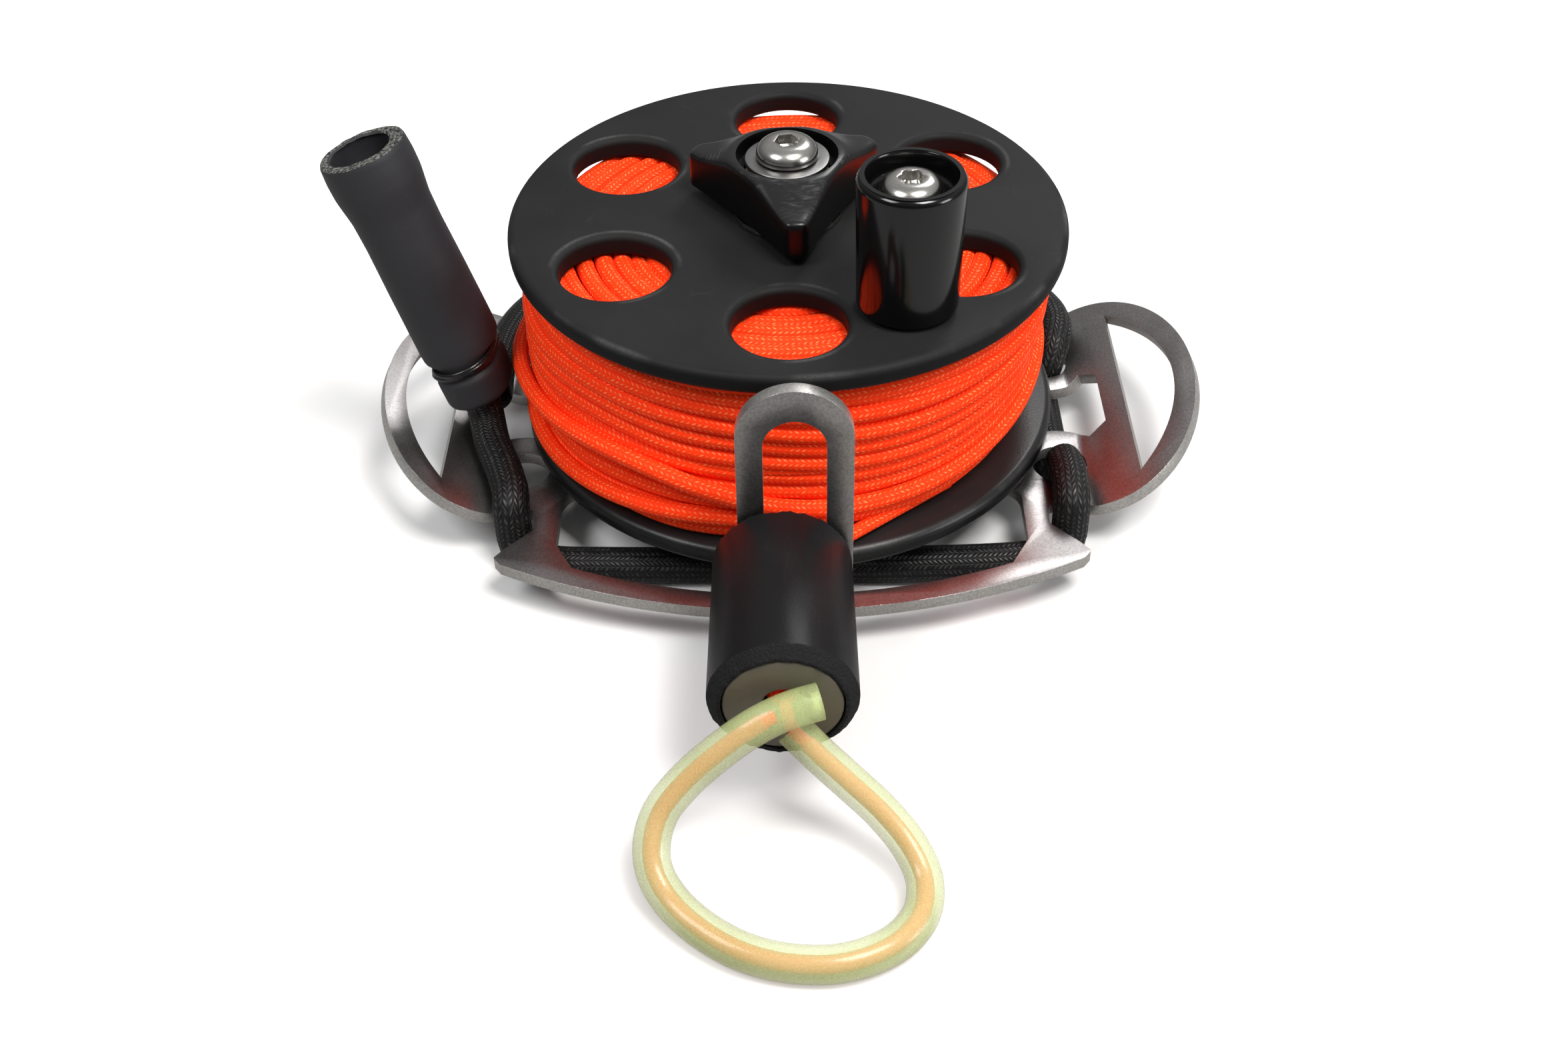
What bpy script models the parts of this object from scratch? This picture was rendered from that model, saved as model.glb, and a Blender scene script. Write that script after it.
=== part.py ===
"""Freediving reel.

A bent stainless plate with belt wings and a slotted line guide carries a
free-turning line spool with a friction drag, a winding handle and a laced
bungee with its pull sleeve. The line runs out through the guide and a rubber
bumper to a luminous loop. Metres, +Z up. The origin is on the spool's axis,
on the surface that the reel lies on."""

import math

import bmesh
import bpy
import numpy as np
from mathutils import Matrix, Vector

# Fits and counts
gap = 0.0003
overrun = 0.002
weld = 0.00001
MM = 0.001
around = 48
around_small = 20
around_hole = 16
arc_steps = 2
cap_angle = math.radians(35)

# Bungee
bungee_d = 0.0068
bungee_r = bungee_d / 2

# Frame plate, as a flat pattern with x outboard and y to the rear
plate_t = 0.0024
plate_under_z = bungee_d + gap
plate_top_z = plate_under_z + plate_t
wing_fold_x = 0.0553
wing_bend_r = 0.003
wing_angle = math.radians(26.7)
wing_x = 0.0610
wing_y = -0.0010
wing_half_w = 0.0202
wing_half_l = 0.0310
belt_chord_x = 0.0667
belt_arc_x = 0.0417
belt_arc_r = 0.0354
plate_rear_y = 0.0270
plate_rear_x = 0.0460
hex_side_x = 0.0623
hex_rear_y = 0.0062
hex_front_y = -0.0086
rear_lug_r = 0.0095
front_lug_r = 0.0103
lace_x = 0.0514
lace_rear_y = 0.0142
lace_front_y = -0.0188
lace_hole_r = 0.0054
notch_lip_x = 0.0515
notch_lip_y = -0.0296
notch_in_x = 0.0474
notch_rear_y = -0.0325
notch_front_y = -0.0357
notch_round = 0.0015
claw_throat_x = 0.0492
claw_throat_rise = 0.0075
claw_back_x = 0.0522
claw_back_rise = 0.0044
claw_tip_x = 0.0540
claw_tip_rise = 0.0019
claw_toe_x = 0.0526
bar_outer_r = 0.1150
bar_front_y = -0.0580
bar_w = 0.0040
bar_r_less = 0.0090
bar_outer_y = bar_front_y + bar_outer_r
bar_inner_r = bar_outer_r - bar_r_less
bar_inner_y = bar_front_y + bar_w + bar_inner_r
window_web = 0.0044
window_half = notch_in_x - window_web
window_rear_y = -0.0240
window_round = 0.0050
window_front_y = -0.0400
window_knee_x = 0.0396

# Line guide, bent up from the front bar
guide_x = 0.0006
guide_w = 0.0192
guide_bend_y = -0.0576
guide_bend_r = 0.0006
guide_top_z = 0.0589
guide_slot_w = 0.0104
guide_slot_top_z = 0.0530
guide_slot_low_z = 0.0136

# Fixed axle
post_d = 0.0120
post_bore_d = 0.0084
post_bore_h = 0.0160
post_top_bore_d = 0.0064
post_top_bore_h = 0.0130
post_rise = 0.0010
base_screw_af = 0.0130
base_screw_d = 0.0078
base_screw_reach = 0.0140
base_washer_d = 0.0170
base_washer_t = 0.0013
friction_d = 0.0340
friction_t = 0.0018

# Spool
flange_d = 0.1020
flange_r = flange_d / 2
flange_t = 0.0040
flange_round = 0.0016
flange_gap_h = 0.0346
window_hole_r = 0.0099
window_ring_r = 0.0351
window_count = 6
window_turn = math.radians(30)
window_flare = 0.0014
hub_d = 0.0260
bush_d = 0.0150
bush_bore_d = post_d + 2 * gap
bush_reach = 0.0140
bore_d = bush_d + 2 * gap

# Line and its winding
line_d = 0.0026
line_r = line_d / 2
pack_low_r = 0.0463
pack_mid_r = 0.0489
pack_top_r = 0.0482
pack_mid_share = 0.52
turns = 9.45
points_a_turn = 24
turn_tilt = 0.0005
inner_bend_r = 0.0019
inner_reach = 0.0026
run_off_deg = -51.7
run_off_l = 0.0240
pack_reach = 0.0004
run_off_r = pack_mid_r + pack_reach

# Handle
handle_x = 0.0200
handle_y = -0.0307
grip_low_d = 0.0174
grip_top_d = 0.0182
grip_h = 0.0248
grip_round = 0.0012
grip_well_d = 0.0150
grip_well_h = 0.0058
grip_bore_d = 0.0076
grip_lift = 0.0002
handle_tube_d = 0.0070
handle_tube_bore_d = 0.0056
handle_insert_d = 0.0080
handle_screw_d = 0.0050
handle_head_d = 0.0096
handle_head_h = 0.0028
lobe_socket_r = 0.0021
lobe_socket_h = 0.0016
lobe_count = 6

# Drag knob
pressure_d = 0.0200
pressure_t = 0.0009
knob_tip_r = 0.0192
knob_tip_w = 0.0036
knob_side_r = 0.0104
knob_h = 0.0105
knob_tip_h = 0.0075
knob_rim_r = 0.0102
knob_well_d = 0.0183
knob_well_h = 0.0031
knob_turn = math.radians(-85.5)
knob_lobes = 3
knob_lift = 0.0003
insert_d = 0.0150
insert_bore_d = post_d + 2 * gap
axle_washer_d = 0.0152
axle_washer_t = 0.0010
axle_screw_d = 0.0058
axle_head_d = 0.0112
axle_head_h = 0.0030
hex_socket_af = 0.0040
hex_socket_h = 0.0018

# Bumper, loop and its tube
bumper_x = -0.0017
bumper_z = 0.0239
bumper_l = 0.0315
bumper_rear_d = 0.0231
bumper_front_d = 0.0241
bumper_round = 0.0006
core_d = 0.0188
core_bore_d = 0.0036
core_well_d = 0.0064
core_well_h = 0.0058
knot_d = 0.0056
knot_l = 0.0050
tube_d = 0.0059
tube_bore_d = 0.0036
tube_sides_step = 0.0060
loop_tail = 0.0040

# Pull sleeve, measured along its own slanted axis
sleeve_x = -0.0587
sleeve_y = -0.0079
sleeve_z = 0.0218
sleeve_lean = Vector((-0.30, 0.06, 0.952))
sleeve_l = 0.0517
collar_h = 0.0066
neck_h = 0.0026
collar_half_w = 0.0063
collar_half_d = 0.0088
neck_half_w = 0.0054
neck_half_d = 0.0080
strands_half_w = 0.0038
strands_half_d = 0.0073
sleeve_r = 0.0077
sleeve_waist_r = 0.0074
sleeve_mouth_r = 0.0082
sleeve_wall = 0.0014
sleeve_bore_from = 0.0126
tie_h = 0.0018
tie_t = 0.0011

# Levels, each seated on the one below it
lower_flange_z = plate_top_z + gap + friction_t + gap
line_floor_z = lower_flange_z + flange_t
upper_flange_z = line_floor_z + flange_gap_h
flange_top_z = upper_flange_z + flange_t
pressure_z = flange_top_z + gap
knob_z = pressure_z + pressure_t + knob_lift
post_top_z = knob_z + knob_h - knob_well_h + post_rise
axle_washer_z = post_top_z + gap
axle_screw_z = axle_washer_z + axle_washer_t + gap
base_washer_z = plate_under_z - gap - base_washer_t
base_head_h = base_washer_z - gap

# Routes of the cords, in millimetres from the origin
bungee_route = [
    (-61.4, -10.9, 30.3), (-60.2, -11.2, 26.2), (-59.0, -11.4, 22.5), (-58.1, -11.7, 19.6), (-57.8, -12.4, 17.8),
    (-57.4, -13.9, 16.2), (-56.7, -16.4, 15.0), (-55.5, -19.4, 14.4), (-54.0, -23.0, 14.0), (-52.8, -26.6, 13.7),
    (-51.9, -29.7, 13.4), (-51.6, -32.7, 12.1), (-51.5, -33.7, 8.9), (-51.1, -34.8, 5.7), (-49.9, -36.2, 3.7),
    (-47.4, -37.5, 3.4), (-43.0, -38.6, 3.4), (-36.0, -39.0, 3.4), (-18.0, -39.4, 3.4), (0.0, -39.6, 3.4),
    (18.0, -39.8, 3.4), (36.0, -39.4, 3.4), (43.0, -38.8, 3.4), (47.4, -37.6, 3.4), (49.9, -36.2, 3.7),
    (51.2, -34.8, 5.6), (51.5, -33.7, 8.9), (51.6, -32.6, 12.1), (51.6, -29.7, 13.5), (51.6, -26.9, 13.8),
    (51.5, -24.1, 13.5), (51.4, -21.3, 12.3), (51.4, -20.2, 9.7), (51.4, -18.6, 7.3), (51.4, -16.6, 4.7),
    (51.3, -14.4, 3.5), (51.3, -9.0, 3.4), (51.3, 2.0, 3.4), (51.3, 7.4, 3.35), (51.3, 9.7, 3.45),
    (51.4, 12.0, 4.7), (51.7, 12.9, 7.2), (52.5, 13.6, 10.0), (53.7, 16.0, 13.0), (54.6, 21.0, 13.9),
    (53.2, 28.4, 13.6), (48.2, 36.0, 13.2), (38.6, 45.0, 12.7), (24.0, 53.6, 12.2), (0.0, 58.4, 11.9),
    (-24.0, 54.0, 12.2), (-39.0, 45.4, 12.8), (-49.0, 36.0, 13.5), (-54.6, 27.0, 14.2), (-57.3, 18.0, 14.7),
    (-58.2, 10.0, 14.9), (-58.1, 3.6, 14.8), (-57.8, -0.6, 14.9), (-57.6, -3.0, 16.2), (-57.7, -4.2, 18.3),
    (-58.1, -4.5, 20.0), (-59.0, -4.2, 22.5), (-60.2, -4.0, 26.2), (-61.4, -3.7, 30.3)]
knot_route = [(-1.4, -92.4, 23.5), (-1.0, -94.2, 22.5)]
loop_route = [
    (0.4, -96.2, 19.9), (3.8, -98.4, 17.3), (9.0, -101.4, 13.5), (13.4, -104.1, 10.3), (17.6, -108.2, 6.9),
    (19.6, -112.6, 4.6), (19.1, -117.6, 3.4), (16.2, -122.0, 3.1), (11.8, -125.0, 3.0), (6.5, -126.7, 3.0),
    (1.9, -126.9, 3.0), (-3.1, -126.2, 3.0), (-8.7, -124.2, 3.1), (-14.6, -120.3, 3.4), (-19.0, -116.2, 4.5),
    (-21.6, -112.4, 6.6), (-22.1, -109.0, 9.2), (-20.8, -105.6, 12.4), (-17.0, -102.9, 16.4), (-11.2, -100.5, 21.0),
    (-5.6, -98.9, 24.7), (-0.8, -97.6, 26.5), (4.0, -96.4, 27.2)]


def clear_scene():
    for obj in list(bpy.data.objects):
        bpy.data.objects.remove(obj, do_unlink=True)


def new_collection(name):
    group = bpy.data.collections.get(name) or bpy.data.collections.new(name)
    if name not in bpy.context.scene.collection.children:
        bpy.context.scene.collection.children.link(group)
    return group


clear_scene()
parts = new_collection("freediving_reel")
cutters = new_collection("freediving_reel_cutters")


def look(name, colour, roughness, metallic=0.0, alpha=1.0):
    mat = bpy.data.materials.get(name) or bpy.data.materials.new(name)
    mat.use_nodes = True
    shader = mat.node_tree.nodes["Principled BSDF"]
    shader.inputs["Base Color"].default_value = (*colour, 1.0)
    shader.inputs["Roughness"].default_value = roughness
    shader.inputs["Metallic"].default_value = metallic
    shader.inputs["Alpha"].default_value = alpha
    mat.diffuse_color = (*colour, 1.0)
    return mat


def add(name, data, mat=None, parent=None, at=(0, 0, 0)):
    """An object in the part's collection, or a hidden cutter without a material."""
    obj = bpy.data.objects.new(name, data)
    (parts if mat else cutters).objects.link(obj)
    if mat:
        data.materials.append(mat)
    else:
        obj.display_type = "WIRE"
        obj.hide_render = True
    obj.parent = parent
    obj.location = at
    return obj


def pivot(name, at, parent=None):
    obj = bpy.data.objects.new(name, None)
    parts.objects.link(obj)
    obj.location = at
    obj.parent = parent
    return obj


def as_mesh(obj):
    """The same object as a closed mesh, with its caps welded on."""
    bpy.context.view_layer.update()
    graph = bpy.context.evaluated_depsgraph_get()
    data = bpy.data.meshes.new_from_object(obj.evaluated_get(graph))
    bm = bmesh.new()
    bm.from_mesh(data)
    bmesh.ops.remove_doubles(bm, verts=bm.verts, dist=weld)
    bmesh.ops.recalc_face_normals(bm, faces=bm.faces)
    bm.to_mesh(data)
    bm.free()
    name, world, home = obj.name, obj.matrix_world.copy(), obj.users_collection[0]
    display, hidden = obj.display_type, obj.hide_render
    bpy.data.objects.remove(obj, do_unlink=True)
    solid = bpy.data.objects.new(name, data)
    home.objects.link(solid)
    solid.matrix_world = world
    solid.display_type = display
    solid.hide_render = hidden
    return solid


def smooth(obj, angle=cap_angle):
    obj.data.shade_smooth()
    obj.data.set_sharp_from_angle(angle=angle)
    return obj


def fillet(points, radii, closed=True, steps=arc_steps):
    """Rounds the corners of a flat outline, each by its own radius."""
    count = len(points)
    out = []
    for i, (point, radius) in enumerate(zip(points, radii)):
        here = Vector(point)
        if not radius or (not closed and i in (0, count - 1)):
            out.append(tuple(here))
            continue
        back = (Vector(points[i - 1]) - here).normalized()
        ahead = (Vector(points[(i + 1) % count]) - here).normalized()
        half = back.angle(ahead) / 2
        reach = radius / math.tan(half)
        middle = here + (back + ahead).normalized() * (radius / math.sin(half))
        first = here + back * reach - middle
        last = here + ahead * reach - middle
        sweep = first.angle_signed(last)
        for k in range(steps + 1):
            turn = -sweep * k / steps
            c, s = math.cos(turn), math.sin(turn)
            out.append((middle.x + first.x * c - first.y * s, middle.y + first.x * s + first.y * c))
    return out


def turned(name, profile, mat=None, parent=None, at=(0, 0, 0), closed=True, steps=around):
    """A profile in x and z, down its outer side first, turned about the Z axis."""
    data = bpy.data.meshes.new(name)
    edges = [(i, i + 1) for i in range(len(profile) - 1)]
    if closed:
        edges.append((len(profile) - 1, 0))
    data.from_pydata([(x, 0, z) for x, z in profile], edges, [])
    obj = add(name, data, mat, parent, at)
    screw = obj.modifiers.new("turn", "SCREW")
    screw.steps = steps
    screw.render_steps = steps
    screw.use_merge_vertices = True
    screw.merge_threshold = weld
    screw.use_smooth_shade = True
    return obj


def ring(name, outer_d, inner_d, height, mat, parent=None, at=(0, 0, 0), steps=around_small):
    profile = [(outer_d / 2, height), (outer_d / 2, 0), (inner_d / 2, 0), (inner_d / 2, height)]
    return turned(name, profile, mat, parent, at, steps=steps)


def rod(name, radius, length, at, along="Z", sides=around_small, turn=0.0):
    """A plain cylinder for cutting or joining, from its low end."""
    bm = bmesh.new()
    bmesh.ops.create_cone(bm, cap_ends=True, segments=sides, radius1=radius, radius2=radius, depth=length)
    bmesh.ops.translate(bm, verts=bm.verts, vec=(0, 0, length / 2))
    bmesh.ops.rotate(bm, verts=bm.verts, matrix=Matrix.Rotation(turn, 3, "Z"))
    if along == "Y":
        bmesh.ops.rotate(bm, verts=bm.verts, matrix=Matrix.Rotation(-math.pi / 2, 3, "X"))
    data = bpy.data.meshes.new(name)
    bm.to_mesh(data)
    bm.free()
    return add(name, data, at=at)


def apply_boolean(obj, tool, how="DIFFERENCE"):
    boolean = obj.modifiers.new(how.lower(), "BOOLEAN")
    boolean.operation = how
    boolean.solver = "EXACT"
    boolean.object = tool
    return obj


def flat_sheet(name, outlines, thickness, mat=None, at=(0, 0, 0)):
    """A flat piece from an outer outline and its holes, from z = 0 up."""
    curve = bpy.data.curves.new(name, "CURVE")
    curve.dimensions = "2D"
    curve.fill_mode = "BOTH"
    curve.extrude = thickness / 2
    for outline in outlines:
        spline = curve.splines.new("POLY")
        spline.points.add(len(outline) - 1)
        for point, (x, y) in zip(spline.points, outline):
            point.co = (x, y, 0, 1)
        spline.use_cyclic_u = True
    solid = as_mesh(add(name, curve, mat, at=at))
    solid.data.transform(Matrix.Translation((0, 0, thickness / 2)))
    return solid


def circle(x, y, radius, steps=around_hole):
    return [(x + radius * math.cos(2 * math.pi * k / steps),
             y + radius * math.sin(2 * math.pi * k / steps)) for k in range(steps)]


def arc(x, y, radius, from_deg, to_deg, steps):
    span = to_deg - from_deg
    return [(x + radius * math.cos(math.radians(from_deg + span * k / steps)),
             y + radius * math.sin(math.radians(from_deg + span * k / steps))) for k in range(steps + 1)]


def mirrored(points):
    return [(-x, y) for x, y in reversed(points)]


def smooth_route(points, step, turn=None, longest=0.0):
    """Points on a smooth curve through the route's points, and its length.

    They are evenly spaced, or kept only where the heading has changed by the
    turn given or the last kept point is the longest spacing away."""
    knots = np.array(points, dtype=float)
    ends = [2 * knots[0] - knots[1], 2 * knots[-1] - knots[-2]]
    knots = np.vstack([ends[0], knots, ends[1]])
    curve = []
    fine = 24
    for i in range(1, len(knots) - 2):
        p0, p1, p2, p3 = knots[i - 1:i + 3]
        t0 = 0.0
        t1 = t0 + math.sqrt(np.linalg.norm(p1 - p0))
        t2 = t1 + math.sqrt(np.linalg.norm(p2 - p1))
        t3 = t2 + math.sqrt(np.linalg.norm(p3 - p2))
        for t in np.linspace(t1, t2, fine, endpoint=False):
            a1 = (t1 - t) / (t1 - t0) * p0 + (t - t0) / (t1 - t0) * p1
            a2 = (t2 - t) / (t2 - t1) * p1 + (t - t1) / (t2 - t1) * p2
            a3 = (t3 - t) / (t3 - t2) * p2 + (t - t2) / (t3 - t2) * p3
            b1 = (t2 - t) / (t2 - t0) * a1 + (t - t0) / (t2 - t0) * a2
            b2 = (t3 - t) / (t3 - t1) * a2 + (t - t1) / (t3 - t1) * a3
            curve.append((t2 - t) / (t2 - t1) * b1 + (t - t1) / (t2 - t1) * b2)
    curve.append(knots[-2])
    curve = np.array(curve)
    run = np.concatenate([[0], np.cumsum(np.linalg.norm(np.diff(curve, axis=0), axis=1))])
    cells = max(2, round(run[-1] / step))
    at = np.linspace(0, run[-1], cells + 1)
    even = np.stack([np.interp(at, run, curve[:, k]) for k in range(3)], axis=1)
    if turn is None:
        return even, run[-1]
    kept = [0]
    heading = even[1] - even[0]
    for k in range(1, cells):
        ahead = even[k + 1] - even[k]
        cosine = heading @ ahead / np.linalg.norm(heading) / np.linalg.norm(ahead)
        if math.acos(min(1.0, cosine)) > turn or at[k] - at[kept[-1]] > longest:
            kept.append(k)
            heading = ahead
    return even[kept + [cells]], run[-1]


def tube(name, points, radius, mat=None, resolution=2, at=(0, 0, 0), parent=None):
    curve = bpy.data.curves.new(name, "CURVE")
    curve.dimensions = "3D"
    curve.bevel_depth = radius
    curve.bevel_resolution = resolution
    curve.use_fill_caps = True
    spline = curve.splines.new("POLY")
    spline.points.add(len(points) - 1)
    for point, place in zip(spline.points, points):
        point.co = (*place, 1)
    return add(name, curve, mat, parent, at)


# Materials
steel_plate = look("steel_plate", (0.36, 0.34, 0.32), 0.38, 1.0)
steel = look("stainless", (0.62, 0.61, 0.58), 0.25, 1.0)
brass = look("brass", (0.72, 0.52, 0.22), 0.35, 1.0)
slip_plastic = look("slip_plastic", (0.80, 0.80, 0.78), 0.5)
flange_black = look("flange_black", (0.020, 0.020, 0.021), 0.55)
gloss_black = look("gloss_black", (0.008, 0.008, 0.008), 0.12)
bungee_black = look("bungee_black", (0.012, 0.012, 0.012), 0.7)
rubber_black = look("rubber_black", (0.018, 0.018, 0.019), 0.5)
sleeve_black = look("sleeve_black", (0.030, 0.030, 0.032), 0.65)
tie_black = look("tie_black", (0.010, 0.010, 0.010), 0.4)
line_orange = look("line_orange", (0.95, 0.12, 0.01), 0.6)
core_green = look("core_green", (0.30, 0.32, 0.24), 0.5)
tube_green = look("tube_green", (0.72, 0.82, 0.42), 0.3, alpha=0.6)


# Frame plate: the flat pattern, then its bends
def bar_outer(x):
    return bar_outer_y - math.sqrt(bar_outer_r ** 2 - x ** 2)


def bar_inner(x):
    return bar_inner_y - math.sqrt(bar_inner_r ** 2 - x ** 2)


def wing_edge(from_deg, to_deg, steps):
    span = to_deg - from_deg
    angles = [math.radians(from_deg + span * k / steps) for k in range(steps + 1)]
    return [(wing_x + wing_half_w * math.cos(a), wing_y + wing_half_l * math.sin(a)) for a in angles]


wing_front_deg = -math.degrees(math.acos((wing_fold_x - wing_x) / wing_half_w))
wing_rear_deg = math.degrees(math.acos((plate_rear_x - wing_x) / wing_half_w))
bar_points = 7
claw_toe_y = bar_outer(claw_toe_x)


def front_bar(from_x):
    return [(from_x + (claw_toe_x - from_x) * k / bar_points,
             bar_outer(from_x + (claw_toe_x - from_x) * k / bar_points)) for k in range(bar_points + 1)]


claw = fillet([(claw_toe_x, claw_toe_y), (claw_tip_x, claw_toe_y + claw_tip_rise),
               (claw_back_x, claw_toe_y + claw_back_rise), (claw_throat_x, claw_toe_y + claw_throat_rise),
               (notch_in_x, notch_front_y), (notch_in_x, notch_rear_y),
               (notch_in_x + notch_round / 2, notch_lip_y - notch_round / 2), (notch_lip_x, notch_lip_y)],
              [0, notch_round / 4, 0, notch_round, notch_round, 0, 0, 0], closed=False, steps=3)
side = claw[1:] + wing_edge(wing_front_deg, wing_rear_deg, around_small)
rear_end = side[-1]
rear_arch = []
rear_steps = 4
for k in range(1, rear_steps):
    share = k / rear_steps
    rear_x = rear_end[0] * (1 - share)
    rear_arch.append((rear_x, plate_rear_y - (plate_rear_y - rear_end[1]) * (rear_x / rear_end[0]) ** 2))
guide_low_x = guide_x - guide_w / 2
guide_high_x = guide_x + guide_w / 2
guide_mid_r = guide_bend_r + plate_t / 2
guide_arc = guide_mid_r * math.pi / 2


def guide_run(z):
    """Length in the flat pattern from the bend's start to a height on the guide."""
    return z - plate_top_z - guide_bend_r + guide_arc


guide_tip_y = guide_bend_y - guide_run(guide_top_z) + guide_w / 2
guide_cap = arc(guide_x, guide_tip_y, guide_w / 2, 180, 360, 12)
outline = (guide_cap + front_bar(guide_high_x) + side + rear_arch + [(0, plate_rear_y)] + mirrored(rear_arch)
           + mirrored(side) + mirrored(front_bar(-guide_low_x)))
belt_half = math.degrees(math.acos((belt_chord_x - belt_arc_x) / belt_arc_r))
belt_slot = arc(belt_arc_x, wing_y, belt_arc_r, -belt_half, belt_half, 12)
hex_opening = ([(hex_side_x, hex_rear_y), (hex_side_x, hex_front_y)]
               + arc(lace_x, lace_front_y, front_lug_r, 46, 122, 5)
               + arc(lace_x, lace_rear_y, rear_lug_r, 235, 321, 5))
inner_knee = bar_inner(window_knee_x)
inner_steps = 12
inner_bar = [(window_knee_x * (1 - 2 * k / inner_steps), bar_inner(window_knee_x * (1 - 2 * k / inner_steps)))
             for k in range(1, inner_steps)]
window = (fillet([(-window_half, window_front_y), (-window_half, window_rear_y), (window_half, window_rear_y),
                  (window_half, window_front_y), (window_knee_x, inner_knee)],
                 [0, window_round, window_round, 0, 0], closed=False) + inner_bar + [(-window_knee_x, inner_knee)])
slot_r = guide_slot_w / 2
slot_far_y = guide_bend_y - guide_run(guide_slot_top_z) + slot_r
slot_near_y = guide_bend_y - guide_run(guide_slot_low_z) - slot_r
guide_slot = arc(guide_x, slot_far_y, slot_r, 180, 360, 8) + arc(guide_x, slot_near_y, slot_r, 0, 180, 8)
holes = [window, guide_slot, circle(0, 0, base_screw_d / 2 + gap)]
for shape in (belt_slot, hex_opening, circle(lace_x, lace_front_y, lace_hole_r),
              circle(lace_x, lace_rear_y, lace_hole_r)):
    holes += [shape, mirrored(shape)]
plate = flat_sheet("frame_plate", [outline] + holes, plate_t, steel_plate)

wing_steps = 3
guide_steps = 5
wing_arc = (wing_bend_r + plate_t / 2) * wing_angle


def bend_point(run, height, radius, angle, steps, thickness):
    """Where a point of the flat pattern goes, past a bend up: out and up."""
    length = (radius + thickness / 2) * angle
    turn_r = radius + thickness - height

    def on_arc(theta):
        return math.sin(theta) * turn_r, radius + thickness - math.cos(theta) * turn_r

    if run >= length:
        out, up = on_arc(angle)
        return out + (run - length) * math.cos(angle), up + (run - length) * math.sin(angle)
    cell = min(steps - 1, int(run / length * steps + 1e-6))
    low, high = (on_arc(angle * c / steps) for c in (cell, cell + 1))
    part = run / length * steps - cell
    return low[0] + (high[0] - low[0]) * part, low[1] + (high[1] - low[1]) * part


bm = bmesh.new()
bm.from_mesh(plate.data)
cuts = []
for k in range(wing_steps + 1):
    fold = wing_fold_x + wing_arc * k / wing_steps
    cuts += [((fold, 0, 0), (1, 0, 0)), ((-fold, 0, 0), (1, 0, 0))]
for k in range(guide_steps + 1):
    cuts.append(((0, guide_bend_y - guide_arc * k / guide_steps, 0), (0, 1, 0)))
for place, normal in cuts:
    bmesh.ops.bisect_plane(bm, geom=bm.verts[:] + bm.edges[:] + bm.faces[:], dist=weld / 10,
                           plane_co=place, plane_no=normal)
bmesh.ops.triangulate(bm, faces=bm.faces[:])
for vert in bm.verts:
    x, y, z = vert.co
    if abs(x) > wing_fold_x:
        out, up = bend_point(abs(x) - wing_fold_x, z, wing_bend_r, wing_angle, wing_steps, plate_t)
        vert.co = (math.copysign(wing_fold_x + out, x), y, up)
    elif y < guide_bend_y and guide_low_x - weld < x < guide_high_x + weld:
        out, up = bend_point(guide_bend_y - y, z, guide_bend_r, math.pi / 2, guide_steps, plate_t)
        vert.co = (x, guide_bend_y - out, up)
bmesh.ops.dissolve_limit(bm, angle_limit=math.radians(0.5), verts=bm.verts[:], edges=bm.edges[:])
bmesh.ops.recalc_face_normals(bm, faces=bm.faces)
bm.to_mesh(plate.data)
bm.free()
plate.location.z = plate_under_z
smooth(plate)

# Fixed axle
head = rod("base_screw", base_screw_af / math.sqrt(3), base_head_h, (0, 0, 0), sides=6)
cutters.objects.unlink(head)
parts.objects.link(head)
head.display_type = "TEXTURED"
head.hide_render = False
head.data.materials.append(steel)
shank_l = plate_top_z - base_head_h + base_screw_reach
apply_boolean(head, rod("base_screw_shank", base_screw_d / 2, shank_l + overrun, (0, 0, base_head_h - overrun)),
              "UNION")
ring("base_washer", base_washer_d, base_screw_d + 2 * gap, base_washer_t, steel, at=(0, 0, base_washer_z))
ring("friction_washer", friction_d, post_d + 2 * gap, friction_t, slip_plastic, at=(0, 0, plate_top_z + gap))
post_h = post_top_z - plate_top_z - gap
post_profile = [(0, post_h - post_top_bore_h), (post_top_bore_d / 2, post_h - post_top_bore_h),
                (post_top_bore_d / 2, post_h), (post_d / 2, post_h), (post_d / 2, 0), (post_bore_d / 2, 0),
                (post_bore_d / 2, post_bore_h), (0, post_bore_h)]
turned("axle_post", post_profile, steel, at=(0, 0, plate_top_z + gap), closed=False, steps=around_small)
ring("axle_washer", axle_washer_d, axle_screw_d + 2 * gap, axle_washer_t, steel, at=(0, 0, axle_washer_z))


def button_screw(name, head_d, head_h, shank_d, shank_l, at, parent=None):
    """Domed head over a plain shank; at is the underside of the head."""
    head_r = head_d / 2
    rim_h = head_h / 6
    flat_r = head_r / 2
    dome = [(0, head_h)]
    dome_steps = 4
    for k in range(dome_steps + 1):
        turn = math.radians(90 * k / dome_steps)
        dome.append((flat_r + (head_r - flat_r) * math.sin(turn), rim_h + (head_h - rim_h) * math.cos(turn)))
    profile = dome + [(head_r, 0), (shank_d / 2, 0), (shank_d / 2, -shank_l), (0, -shank_l)]
    return turned(name, profile, steel, parent, at, closed=False, steps=around_small)


axle_screw = button_screw("axle_screw", axle_head_d, axle_head_h, axle_screw_d, post_top_bore_h - overrun / 2,
                          (0, 0, axle_screw_z))
apply_boolean(axle_screw, rod("axle_socket", hex_socket_af / math.sqrt(3), hex_socket_h + overrun,
                              (0, 0, axle_screw_z + axle_head_h - hex_socket_h), sides=6))

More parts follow.
